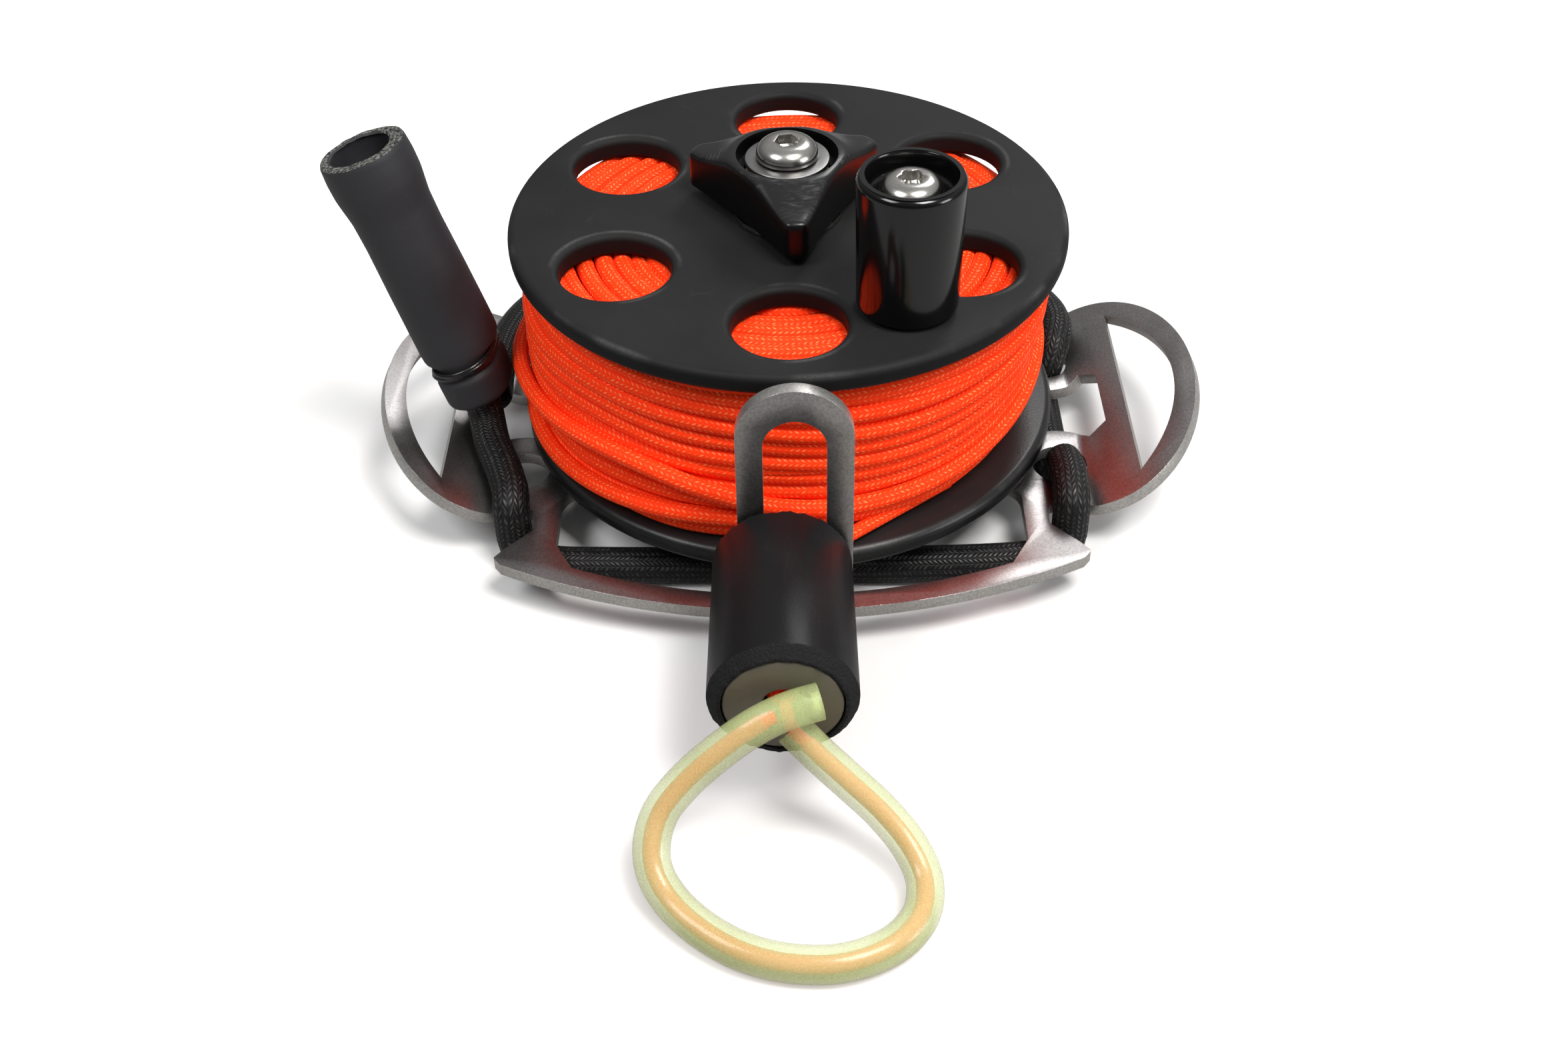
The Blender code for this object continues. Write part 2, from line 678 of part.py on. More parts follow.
# Spool
spool = pivot("spool_axis", (0, 0, 0))
flange_profile = fillet([(flange_r, flange_t), (flange_r, 0), (bore_d / 2, 0), (bore_d / 2, flange_t)],
                        [flange_round, flange_round, 0, 0])
turned("lower_flange", flange_profile, flange_black, spool, (0, 0, lower_flange_z))
upper = turned("upper_flange", flange_profile, flange_black, spool, (0, 0, upper_flange_z))
flare = [(0, flange_t + overrun), (window_hole_r + window_flare, flange_t + overrun)]
for k in range(arc_steps + 1):
    turn = math.radians(90 * k / arc_steps)
    flare.append((window_hole_r + window_flare * (1 - math.sin(turn)),
                  flange_t - window_flare * (1 - math.cos(turn))))
flare += [(window_hole_r, -overrun), (0, -overrun)]
for k in range(window_count):
    turn = window_turn + 2 * math.pi * k / window_count
    place = (window_ring_r * math.cos(turn), window_ring_r * math.sin(turn), upper_flange_z)
    apply_boolean(upper, turned("flange_window_%d" % k, flare, at=place, closed=False, steps=around_small))
apply_boolean(upper, rod("handle_insert_bore", handle_insert_d / 2 + gap, flange_t + 2 * overrun,
                         (handle_x, handle_y, upper_flange_z - overrun)))
hub_z = line_floor_z + gap
hub_h = flange_gap_h - 2 * gap
ring("spool_hub", hub_d, bore_d, hub_h, flange_black, spool, (0, 0, hub_z))
ring("lower_bush", bush_d, bush_bore_d, bush_reach, slip_plastic, spool, (0, 0, lower_flange_z + gap))
ring("upper_bush", bush_d, bush_bore_d, bush_reach, slip_plastic, spool,
     (0, 0, flange_top_z - gap - bush_reach))

# Winding: the outer turns over a plain core, both on one radius profile
turn_low_z = line_floor_z + gap + line_r + turn_tilt
turn_high_z = upper_flange_z - gap - line_r - turn_tilt


def pack_r(z):
    """Radius to the middle of the outer turns at a height."""
    share = min(1.0, max(0.0, (z - turn_low_z) / (turn_high_z - turn_low_z)))
    if share < pack_mid_share:
        rise = math.sin(share / pack_mid_share * math.pi / 2)
        return pack_low_r + (pack_mid_r - pack_low_r) * rise - line_r
    fall = (share - pack_mid_share) / (1 - pack_mid_share)
    return pack_mid_r - (pack_mid_r - pack_top_r) * fall ** 2 - line_r


core_steps = 6
turn_sag = pack_mid_r * (1 - math.cos(math.pi / points_a_turn))
core_levels = [turn_low_z + (turn_high_z - turn_low_z) * (1 - k / core_steps) for k in range(core_steps + 1)]
core_outer = []
for z in [hub_z + hub_h] + core_levels + [hub_z]:
    core_outer.append((pack_r(z) - turn_sag - line_r - gap, z - hub_z))
line_core = turned("line_core", core_outer + [(hub_d / 2 + gap, 0), (hub_d / 2 + gap, hub_h)], line_orange, spool,
                   (0, 0, hub_z), steps=36)


def on_pack(angle, z, out=0.0, ahead=0.0):
    """A point beside the turn at an angle: outward, and ahead along the line."""
    radial = Vector((math.cos(angle), math.sin(angle), 0))
    along = Vector((math.sin(angle), -math.cos(angle), 0))
    return radial * (pack_r(z) + out) + along * ahead + Vector((0, 0, z))


end_angle = math.radians(run_off_deg)
start_angle = end_angle + 2 * math.pi * turns
start_r = pack_r(turn_high_z)
winding = []
for k in range(3):
    winding.append(on_pack(start_angle, turn_high_z, out=-inner_bend_r - inner_reach * (1 - k / 2)))
for k in range(1, 5):
    bend = math.radians(90 * k / 4)
    winding.append(on_pack(start_angle, turn_high_z, out=-inner_bend_r * (1 - math.sin(bend)),
                           ahead=inner_bend_r * (1 - math.cos(bend))))
first_turn = inner_bend_r / start_r
turn_points = round(turns * points_a_turn)
for k in range(1, turn_points + 1):
    share = k / turn_points
    angle = start_angle - first_turn - (start_angle - first_turn - end_angle) * share
    wave = math.sin(math.pi * share) * turn_tilt
    winding.append(on_pack(angle, turn_high_z + (turn_low_z - turn_high_z) * share
                           + wave * math.sin(angle)))
run_dir = Vector((math.sin(end_angle), -math.cos(end_angle), 0))
guide_entry = Vector((bumper_x, guide_bend_y - guide_bend_r, bumper_z))
leave = winding[-1].copy()
winding += [leave + run_dir * run_off_l * k / 3 for k in range(1, 4)]
winding_solid = as_mesh(tube("line_winding", winding, line_r, line_orange, resolution=1))
winding_solid.parent = spool
reach_h = upper_flange_z - line_floor_z
reach_sides = 2 * around
apply_boolean(smooth(winding_solid),
              rod("winding_reach", run_off_r, reach_h, (0, 0, line_floor_z), sides=reach_sides), "INTERSECT")
track = np.array([tuple(p) for p in winding])
least = 1.0
for i in range(len(track) - 1):
    away = track[i + points_a_turn // 2:]
    if len(away):
        least = min(least, float(np.linalg.norm(away - track[i], axis=1).min()))
print("line_winding: least gap to itself %.2f mm" % ((least - line_d) / MM))
hole_ends = [on_pack(start_angle, turn_high_z, out=-inner_bend_r - inner_reach - gap),
             on_pack(start_angle, turn_high_z, out=inner_reach)]
apply_boolean(line_core, as_mesh(tube("winding_end_hole", hole_ends, line_r + gap)))

# Handle
handle = pivot("handle_axis", (handle_x, handle_y, flange_top_z), spool)
ring("handle_insert", handle_insert_d, handle_screw_d + 2 * gap, flange_t - gap, brass, handle,
     (0, 0, gap - flange_t))
grip_z = gap + grip_lift
well_z = grip_h - grip_well_h
grip_profile = [(grip_top_d / 2, grip_h), (grip_low_d / 2, 0), (grip_bore_d / 2, 0), (grip_bore_d / 2, well_z),
                (grip_well_d / 2, well_z), (grip_well_d / 2, grip_h)]
turned("handle_grip", fillet(grip_profile, [grip_round, grip_round, 0, 0, 0, 0]), gloss_black, handle,
       (0, 0, grip_z), steps=40)
tube_h = grip_z + well_z
ring("handle_sleeve", handle_tube_d, handle_tube_bore_d, tube_h, steel, handle, (0, 0, gap))
screw_z = gap + tube_h + gap
handle_screw = button_screw("handle_screw", handle_head_d, handle_head_h, handle_screw_d,
                            screw_z + flange_t - 2 * gap, (0, 0, screw_z), handle)
lobe_points = 24
lobed = [(lobe_socket_r * (1 + math.cos(lobe_count * 2 * math.pi * k / lobe_points) / 8)
          * math.cos(2 * math.pi * k / lobe_points),
          lobe_socket_r * (1 + math.cos(lobe_count * 2 * math.pi * k / lobe_points) / 8)
          * math.sin(2 * math.pi * k / lobe_points)) for k in range(lobe_points)]
apply_boolean(handle_screw, flat_sheet("handle_socket", [lobed], lobe_socket_h + overrun,
                                       at=(handle_x, handle_y,
                                           flange_top_z + screw_z + handle_head_h - lobe_socket_h)))

# Drag: a slip washer and a three-lobed nut on the post
drag = pivot("drag_axis", (0, 0, 0))
ring("pressure_washer", pressure_d, post_d + 2 * gap, pressure_t, steel, drag, (0, 0, pressure_z))
tip_half = knob_tip_w / 2
knob_outline = []
side_steps = 7
for k in range(knob_lobes):
    turn = knob_turn + 2 * math.pi * k / knob_lobes
    following = turn + 2 * math.pi / knob_lobes
    out, across = Vector((math.cos(turn), math.sin(turn))), Vector((-math.sin(turn), math.cos(turn)))
    next_out = Vector((math.cos(following), math.sin(following)))
    next_across = Vector((-math.sin(following), math.cos(following)))
    near = out * knob_tip_r + across * tip_half
    far = next_out * knob_tip_r - next_across * tip_half
    middle = Vector((math.cos((turn + following) / 2), math.sin((turn + following) / 2))) * knob_side_r
    control = middle * 2 - (near + far) / 2
    knob_outline.append(tuple(out * knob_tip_r - across * tip_half))
    for s in range(side_steps):
        t = s / side_steps
        knob_outline.append(tuple(near * (1 - t) ** 2 + control * 2 * t * (1 - t) + far * t ** 2))
knob = flat_sheet("drag_knob", [knob_outline], knob_h + overrun, gloss_black)
knob.parent = drag
knob.location = (0, 0, knob_z)
crown = [(0, knob_h), (knob_rim_r, knob_h)]
crown_steps = 7
for k in range(1, crown_steps + 1):
    share = k / crown_steps
    crown.append((knob_rim_r + (knob_tip_r - knob_rim_r) * share,
                  knob_tip_h + (knob_h - knob_tip_h) * (1 - share) ** 2))
crown += [(knob_tip_r + overrun, knob_tip_h), (knob_tip_r + overrun, -overrun), (0, -overrun)]
apply_boolean(knob, turned("knob_crown", crown, at=(0, 0, knob_z), closed=False, steps=48), "INTERSECT")
apply_boolean(knob, rod("knob_well", knob_well_d / 2, knob_well_h + overrun, (0, 0, knob_z + knob_h - knob_well_h),
                        sides=48))
apply_boolean(knob, rod("knob_bore", insert_d / 2 + gap, knob_h + overrun, (0, 0, knob_z - overrun)))
ring("knob_insert", insert_d, insert_bore_d, knob_h - knob_well_h - 2 * gap, brass, drag, (0, 0, knob_z + gap))

# Bumper on the line, against the guide
bumper_rear_y = guide_bend_y - guide_bend_r - plate_t - gap


def facing_out(obj):
    """Lays a turned piece down, with its height running forward from the guide."""
    obj.rotation_euler = (math.pi / 2, 0, 0)
    return obj


bumper_profile = [(bumper_front_d / 2, bumper_l), (bumper_rear_d / 2, 0), (core_d / 2 + gap, 0),
                  (core_d / 2 + gap, bumper_l)]
facing_out(turned("bumper_sleeve", fillet(bumper_profile, [bumper_round, bumper_round, 0, 0], steps=2),
                  rubber_black, at=(bumper_x, bumper_rear_y, bumper_z), steps=40))
core_profile = [(core_d / 2, bumper_l), (core_d / 2, 0), (core_bore_d / 2, 0),
                (core_bore_d / 2, bumper_l - core_well_h), (core_well_d / 2, bumper_l - core_well_h),
                (core_well_d / 2, bumper_l)]
facing_out(turned("bumper_core", core_profile, core_green, at=(bumper_x, bumper_rear_y, bumper_z), steps=32))

# Line from the winding through the guide and the bumper, and its knot
well_floor_y = bumper_rear_y - bumper_l + core_well_h
knot_back_y = well_floor_y - gap
knot_front_y = knot_back_y - knot_l
lead_from = leave + run_dir * (run_off_l - 3 * line_d)
lead_points = [tuple((lead_from + run_dir * line_d * k) / MM) for k in range(4)] + [
               tuple(((leave + run_dir * run_off_l + guide_entry) / 2) / MM),
               tuple((guide_entry - (guide_entry - lead_from).normalized() * line_r) / MM), tuple(guide_entry / MM),
               (bumper_x / MM, (bumper_rear_y - 3 * line_d) / MM, bumper_z / MM),
               (bumper_x / MM, (knot_back_y + line_d) / MM, bumper_z / MM),
               (bumper_x / MM, (knot_back_y + gap) / MM, bumper_z / MM)]
lead, lead_l = smooth_route(np.array(lead_points) * MM, line_d * 2)
lead_solid = as_mesh(tube("line_lead", [tuple(p) for p in lead], line_r, line_orange))
apply_boolean(smooth(lead_solid),
              rod("lead_start", run_off_r + gap, reach_h, (0, 0, line_floor_z), sides=reach_sides))
bm = bmesh.new()
bmesh.ops.create_uvsphere(bm, u_segments=10, v_segments=6, radius=1.0)
bmesh.ops.scale(bm, vec=(knot_d / 2, knot_l / 2, knot_d / 2), verts=bm.verts)
knot_data = bpy.data.meshes.new("line_knot")
bm.to_mesh(knot_data)
bm.free()
smooth(add("line_knot", knot_data, line_orange, at=(bumper_x, (knot_back_y + knot_front_y) / 2, bumper_z)))

# Luminous tube, with the line through it
loop = np.array(loop_route) * MM
loop_points, loop_l = smooth_route(loop, tube_sides_step)
tube_solid = as_mesh(tube("loop_tube", [tuple(p) for p in loop_points], tube_d / 2, tube_green))
first_dir = (loop_points[0] - loop_points[1]) / np.linalg.norm(loop_points[0] - loop_points[1])
last_dir = (loop_points[-1] - loop_points[-2]) / np.linalg.norm(loop_points[-1] - loop_points[-2])
bore_points = [loop_points[0] + first_dir * overrun, *loop_points, loop_points[-1] + last_dir * overrun]
apply_boolean(tube_solid, as_mesh(tube("loop_bore", [tuple(p) for p in bore_points], tube_bore_d / 2)))
smooth(tube_solid)
cord = np.vstack([np.array(knot_route) * MM, loop_points[0] + first_dir * line_r, loop_points[:-1],
                  loop_points[-1] - last_dir * loop_tail])
tube("line_loop", [tuple(p) for p in cord], line_r, line_orange)
print("line loop %.1f mm, luminous tube %.1f mm, lead %.1f mm" % (
    np.linalg.norm(np.diff(cord, axis=0), axis=1).sum() / MM, loop_l / MM, lead_l / MM))

# Bungee, one length laced through the plate and both ends in the sleeve
bungee, bungee_l = smooth_route(np.array(bungee_route) * MM, bungee_r / 4, turn=math.radians(16),
                                longest=bungee_d * 2)
bungee[:, 2] = np.maximum(bungee[:, 2], bungee_r)
tube("bungee_cord", [tuple(p) for p in bungee], bungee_r, bungee_black)
print("bungee %.1f mm in %d points" % (bungee_l / MM, len(bungee)))

# Pull sleeve: a loft from an oval collar round two strands to a round tube
def loft(name, sections, mat, sides=28):
    """Closed solid round an axis, through round-ended sections: height, half width, half depth."""
    bm = bmesh.new()
    rows = []
    for height, half_w, half_d in sections:
        row = []
        for k in range(sides):
            c, s = math.cos(2 * math.pi * k / sides), math.sin(2 * math.pi * k / sides)
            flat = 0 if k % (sides // 2) == 0 else math.copysign(half_d - half_w, s)
            row.append(bm.verts.new((half_w * c, half_w * s + flat, height)))
        rows.append(row)
    for row, following in zip(rows, rows[1:] + rows[:1]):
        for k in range(sides):
            bm.faces.new((row[k], row[(k + 1) % sides], following[(k + 1) % sides], following[k]))
    bmesh.ops.recalc_face_normals(bm, faces=bm.faces)
    data = bpy.data.meshes.new(name)
    bm.to_mesh(data)
    bm.free()
    return smooth(add(name, data, mat))


def on_sleeve(obj, height=0.0):
    """Stands a piece on the sleeve's slanted axis."""
    lean = sleeve_lean.normalized()
    obj.rotation_mode = "QUATERNION"
    obj.rotation_quaternion = Vector((0, 0, 1)).rotation_difference(lean)
    obj.location = Vector((sleeve_x, sleeve_y, sleeve_z)) + lean * height
    return obj


edge = neck_h / 4
neck_z = collar_h
body_z = collar_h + neck_h
mouth_bore = sleeve_mouth_r - sleeve_wall
waist_bore = sleeve_waist_r - sleeve_wall
rim_outer = sleeve_mouth_r - edge / 3
rim_inner = mouth_bore - edge / 3
sleeve_sections = [
    (0, collar_half_w - edge / 2, collar_half_d - edge / 2), (edge, collar_half_w, collar_half_d),
    (neck_z - edge, collar_half_w, collar_half_d), (neck_z, neck_half_w, neck_half_d),
    (body_z, neck_half_w, neck_half_d), (body_z + edge, sleeve_waist_r, collar_half_d - edge),
    ((body_z + sleeve_bore_from) / 2 + edge, sleeve_waist_r, collar_half_d - edge),
    (sleeve_bore_from * 4 / 3, sleeve_r, sleeve_r), (sleeve_l * 2 / 3, sleeve_waist_r, sleeve_waist_r),
    (sleeve_l * 7 / 8, sleeve_mouth_r, sleeve_mouth_r), (sleeve_l, rim_outer, rim_outer),
    (sleeve_l, rim_inner, rim_inner), (sleeve_l * 7 / 8, mouth_bore, mouth_bore),
    (sleeve_l * 2 / 3, waist_bore, waist_bore), (sleeve_bore_from * 4 / 3, waist_bore, waist_bore),
    (sleeve_bore_from, strands_half_w, strands_half_d), (collar_h / 3, strands_half_w, strands_half_d),
    (0, strands_half_w + edge / 2, strands_half_d + edge / 2)]
on_sleeve(loft("pull_sleeve", sleeve_sections, sleeve_black))
tie_in_w = neck_half_w + gap
tie_in_d = neck_half_d + gap
on_sleeve(loft("sleeve_tie", [
    (tie_h, tie_in_w + tie_t, tie_in_d + tie_t), (0, tie_in_w + tie_t, tie_in_d + tie_t),
    (0, tie_in_w, tie_in_d), (tie_h, tie_in_w, tie_in_d)], tie_black),
    neck_z + (neck_h - tie_h) / 2)
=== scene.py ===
"""Looks of the freediving reel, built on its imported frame.

Metres, +Z up, in the frame's own axes. Materials, camera and cords come before the other pieces."""

import math

import bmesh
import bpy
import numpy as np
from mathutils import Matrix, Vector


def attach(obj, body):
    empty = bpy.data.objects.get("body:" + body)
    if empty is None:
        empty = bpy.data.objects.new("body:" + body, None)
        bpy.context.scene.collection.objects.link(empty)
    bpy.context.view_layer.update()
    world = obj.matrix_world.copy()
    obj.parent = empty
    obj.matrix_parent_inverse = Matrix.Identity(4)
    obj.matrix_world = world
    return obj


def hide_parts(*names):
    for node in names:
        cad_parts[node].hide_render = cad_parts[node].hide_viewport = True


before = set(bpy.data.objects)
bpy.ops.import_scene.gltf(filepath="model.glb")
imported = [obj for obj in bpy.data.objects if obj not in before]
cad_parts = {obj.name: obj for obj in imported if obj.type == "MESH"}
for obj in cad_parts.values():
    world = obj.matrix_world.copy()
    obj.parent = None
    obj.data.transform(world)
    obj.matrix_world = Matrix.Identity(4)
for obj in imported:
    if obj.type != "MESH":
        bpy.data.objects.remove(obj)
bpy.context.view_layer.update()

MM = 0.001
weld = 0.000005
rng = np.random.default_rng(7)

# Sizes that the frame was made to
plate_t = 0.0024
plate_under_z = 0.0071
plate_top_z = plate_under_z + plate_t
flange_r = 0.0510
flange_t = 0.0040
window_hole_r = 0.0099
window_ring_r = 0.0351
lower_flange_z = 0.0119
line_floor_z = lower_flange_z + flange_t
upper_flange_z = 0.0505
flange_top_z = upper_flange_z + flange_t
line_d = 0.0026
line_r = line_d / 2
bungee_r = 0.0034
tube_d = 0.0059
handle_at = (0.0200, -0.0307, flange_top_z + 0.0005)
knob_z = 0.0560
bumper_x, bumper_z = -0.0017, 0.0239
bumper_rear_y = -0.0609
bumper_l = 0.0315
core_well_r, core_well_h = 0.0032, 0.0058


# Modelling steps
def take(obj):
    """Only this object selected, and active."""
    bpy.ops.object.select_all(action="DESELECT")
    obj.select_set(True)
    bpy.context.view_layer.objects.active = obj
    return obj


def edit(obj):
    take(obj)
    bpy.ops.object.mode_set(mode="EDIT")
    bpy.ops.mesh.select_all(action="SELECT")
    return bmesh.from_edit_mesh(obj.data)


def leave():
    bpy.ops.object.mode_set(mode="OBJECT")


def place_applied(obj):
    take(obj)
    bpy.ops.object.transform_apply(location=True, rotation=True, scale=True)
    return obj


def made_closed(obj):
    """Doubles merged and faces turned outward."""
    edit(obj)
    bpy.ops.mesh.remove_doubles(threshold=weld)
    bpy.ops.mesh.normals_make_consistent(inside=False)
    leave()
    return obj


def linked(name, data):
    obj = bpy.data.objects.new(name, data)
    bpy.context.scene.collection.objects.link(obj)
    return obj


def shell_object(bm, name):
    """A closed shell built face by face, made an object with its faces turned outward."""
    bmesh.ops.recalc_face_normals(bm, faces=bm.faces)
    data = bpy.data.meshes.new(name)
    bm.to_mesh(data)
    bm.free()
    return linked(name, data)


def with_modifier(obj, kind, **settings):
    take(obj)
    added = obj.modifiers.new(kind.lower(), kind)
    for key, value in settings.items():
        setattr(added, key, value)
    bpy.ops.object.modifier_apply(modifier=added.name)
    return obj


def cut_by(obj, tool, how="DIFFERENCE"):
    with_modifier(obj, "BOOLEAN", operation=how, solver="EXACT", object=tool)
    bpy.data.objects.remove(tool, do_unlink=True)
    return obj


def edges_broken(obj, width, segments, **more):
    return with_modifier(obj, "BEVEL", width=width, segments=segments, limit_method="ANGLE",
                         angle_limit=math.radians(50), use_clamp_overlap=True, **more)


def finished(obj, name, body, mat, slot, *nodes, angle=38):
    """Named, smoothed and dressed, riding on its body, in place of the CAD nodes that it stands for."""
    place_applied(obj)
    obj.name = obj.data.name = name
    bpy.ops.object.shade_smooth_by_angle(angle=math.radians(angle))
    if mat:
        obj.data.materials.clear()
        obj.data.materials.append(mat)
    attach(obj, body)
    if nodes:
        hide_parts(*nodes)
    return obj


def polar(radius, angle, x=0.0, y=0.0):
    return x + radius * math.cos(angle), y + radius * math.sin(angle)


def arc_points(x, y, radius, from_deg, to_deg, steps):
    span = to_deg - from_deg
    return [polar(radius, math.radians(from_deg + span * k / steps), x, y) for k in range(steps + 1)]


def eased(points, radii, steps=6, closed=True):
    """An outline with its corners rounded, each by its own radius."""
    out = []
    count = len(points)
    for i, (point, radius) in enumerate(zip(points, radii)):
        here = Vector(point)
        if not radius or (not closed and i in (0, count - 1)):
            out.append(tuple(here))
            continue
        back = (Vector(points[i - 1]) - here).normalized()
        ahead = (Vector(points[(i + 1) % count]) - here).normalized()
        half = back.angle(ahead) / 2
        reach = radius / math.tan(half)
        middle = here + (back + ahead).normalized() * (radius / math.sin(half))
        first = here + back * reach - middle
        last = here + ahead * reach - middle
        sweep = first.angle_signed(last)
        for k in range(steps + 1):
            c, s = math.cos(-sweep * k / steps), math.sin(-sweep * k / steps)
            out.append((middle.x + first.x * c - first.y * s, middle.y + first.x * s + first.y * c))
    return out


def turned(profile, at=(0, 0, 0), sides=128, closed=True):
    """Draws a profile in x and z from one extruded vertex and spins it about the Z axis."""
    bpy.ops.object.select_all(action="DESELECT")
    bpy.ops.mesh.primitive_plane_add(size=MM, location=(0, 0, 0))
    obj = bpy.context.object
    edit(obj)
    bpy.ops.mesh.merge(type="CENTER")
    bpy.ops.transform.translate(value=(profile[0][0], 0, profile[0][1]))
    for (x0, z0), (x1, z1) in zip(profile, profile[1:]):
        bpy.ops.mesh.extrude_region_move(TRANSFORM_OT_translate={"value": (x1 - x0, 0, z1 - z0)})
    if closed:
        bm = bmesh.from_edit_mesh(obj.data)
        bm.verts.ensure_lookup_table()
        bpy.ops.mesh.select_all(action="DESELECT")
        bm.verts[0].select = True
        bm.verts[-1].select = True
        bm.select_flush(True)
        bpy.ops.mesh.edge_face_add()
    bpy.ops.mesh.select_all(action="SELECT")
    bpy.ops.mesh.spin(steps=sides, angle=2 * math.pi, center=(0, 0, 0), axis=(0, 0, 1))
    leave()
    made_closed(obj)
    obj.location = at
    return place_applied(obj)


def flat_sheet(outlines, thickness, at=(0, 0, 0)):
    """A filled flat curve made a mesh, from its place up."""
    curve = bpy.data.curves.new("sheet", "CURVE")
    curve.dimensions = "2D"
    curve.fill_mode = "BOTH"
    curve.extrude = thickness / 2
    for outline in outlines:
        spline = curve.splines.new("POLY")
        spline.points.add(len(outline) - 1)
        for point, (x, y) in zip(spline.points, outline):
            point.co = (x, y, 0, 1)
        spline.use_cyclic_u = True
    obj = linked("sheet", curve)
    obj.location = (at[0], at[1], at[2] + thickness / 2)
    take(obj)
    bpy.ops.object.convert(target="MESH")
    place_applied(bpy.context.object)
    return made_closed(bpy.context.object)


def unit(vector):
    return vector / np.linalg.norm(vector)


def run_along(points):
    """Length run at each point of a line."""
    return np.concatenate([[0], np.cumsum(np.linalg.norm(np.diff(points, axis=0), axis=1))])


def smooth_route(points, step):
    """Evenly spaced points on a smooth curve through a route."""
    knots = np.array(points, dtype=float)
    knots = np.vstack([2 * knots[0] - knots[1], knots, 2 * knots[-1] - knots[-2]])
    curve = []
    for i in range(1, len(knots) - 2):
        p0, p1, p2, p3 = knots[i - 1:i + 3]
        t1 = math.sqrt(np.linalg.norm(p1 - p0))
        t2 = t1 + math.sqrt(np.linalg.norm(p2 - p1))
        t3 = t2 + math.sqrt(np.linalg.norm(p3 - p2))
        for t in np.linspace(t1, t2, 24, endpoint=False):
            a1 = (t1 - t) / t1 * p0 + t / t1 * p1
            a2 = (t2 - t) / (t2 - t1) * p1 + (t - t1) / (t2 - t1) * p2
            a3 = (t3 - t) / (t3 - t2) * p2 + (t - t2) / (t3 - t2) * p3
            b1 = (t2 - t) / t2 * a1 + t / t2 * a2
            b2 = (t3 - t) / (t3 - t1) * a2 + (t - t1) / (t3 - t1) * a3
            curve.append((t2 - t) / (t2 - t1) * b1 + (t - t1) / (t2 - t1) * b2)
    curve.append(knots[-2])
    curve = np.array(curve)
    run = run_along(curve)
    at = np.linspace(0, run[-1], max(2, round(run[-1] / step)) + 1)
    return np.stack([np.interp(at, run, curve[:, k]) for k in range(3)], axis=1)


def laid_tube(points, half_w, half_h, sides, normals=None):
    """A closed tube along points with its length and its girth as UV. Its height goes along the normals."""
    points = np.asarray(points, dtype=float)
    ahead = np.gradient(points, axis=0)
    ahead /= np.linalg.norm(ahead, axis=1)[:, None]
    if normals is None:
        up = np.cross(ahead[0], [0.3, 0.2, 1.0])
        normals = []
        for t in ahead:
            up = unit(up - t * (up @ t))
            normals.append(up)
        normals = np.array(normals)
    normals = normals - ahead * np.sum(normals * ahead, axis=1)[:, None]
    normals /= np.linalg.norm(normals, axis=1)[:, None]
    across = np.cross(ahead, normals)
    run = run_along(points)
    bm = bmesh.new()
    uv = bm.loops.layers.uv.new("along")
    rows = []
    for c, n, a in zip(points, normals, across):
        rows.append([bm.verts.new(c + n * half_h * math.cos(2 * math.pi * k / sides)
                                  + a * half_w * math.sin(2 * math.pi * k / sides)) for k in range(sides)])
    for i in range(len(rows) - 1):
        for k in range(sides):
            corners = [(i, k), (i, k + 1), (i + 1, k + 1), (i + 1, k)]
            face = bm.faces.new([rows[a][b % sides] for a, b in corners])
            for loop, (a, b) in zip(face.loops, corners):
                loop[uv].uv = (run[a], b / sides)
    for ring, at in ((rows[0], run[0]), (rows[-1][::-1], run[-1])):
        for loop in bm.faces.new(ring).loops:
            loop[uv].uv = (at, 0.5)
    return shell_object(bm, "tube")


def wander(count, spacing, size):
    """Smooth random values, about `size` high, that change over `spacing` steps."""
    knots = rng.normal(0, size, count // spacing + 4)
    at = np.arange(count) / spacing
    low = at.astype(int)
    share = at - low
    ease = share * share * (3 - 2 * share)
    return knots[low] * (1 - ease) + knots[low + 1] * ease


# Node groups and materials
class Mask:
    """A value over a surface, so that Math nodes are written as plain sums."""

    def __init__(self, socket):
        self.socket = socket

    def math(self, how, other=0.0):
        return new_node(self.socket.id_data, "Math", {0: self, 1: other}, operation=how)["Value"]

    def __add__(self, other):
        return self.math("ADD", other)

    def __sub__(self, other):
        return self.math("SUBTRACT", other)

    def __mul__(self, other):
        return self.math("MULTIPLY", other)

    def __truediv__(self, other):
        return self.math("DIVIDE", other)

    def clamped(self):
        self.socket.node.use_clamp = True
        return self


def new_node(tree, kind, inputs=None, **settings):
    """A new node's outputs by name. Its inputs are set by name or number, to a value or to a link."""
    made = tree.nodes.new("ShaderNode" + kind)
    for key, value in settings.items():
        setattr(made, key, value)
    for key, value in (inputs or {}).items():
        if isinstance(value, Mask):
            tree.links.new(value.socket, made.inputs[key])
        else:
            made.inputs[key].default_value = value
    return {socket.name: Mask(socket) for socket in made.outputs}


def one_minus(mask):
    return mask * -1.0 + 1.0


def far_from(a, b):
    return (a * a + b * b).math("SQRT")


def group(name, **inputs):
    tree = bpy.data.node_groups.new(name, "ShaderNodeTree")
    for label, value in inputs.items():
        tree.interface.new_socket(label, in_out="INPUT", socket_type="NodeSocketFloat").default_value = value
    source = tree.nodes.new("NodeGroupInput")
    return tree, {socket.name: Mask(socket) for socket in source.outputs}


def giving(tree, **outputs):
    for label in outputs:
        tree.interface.new_socket(label, in_out="OUTPUT", socket_type="NodeSocketFloat")
    sink = tree.nodes.new("NodeGroupOutput")
    for label, mask in outputs.items():
        tree.links.new(mask.socket, sink.inputs[label])
    return tree


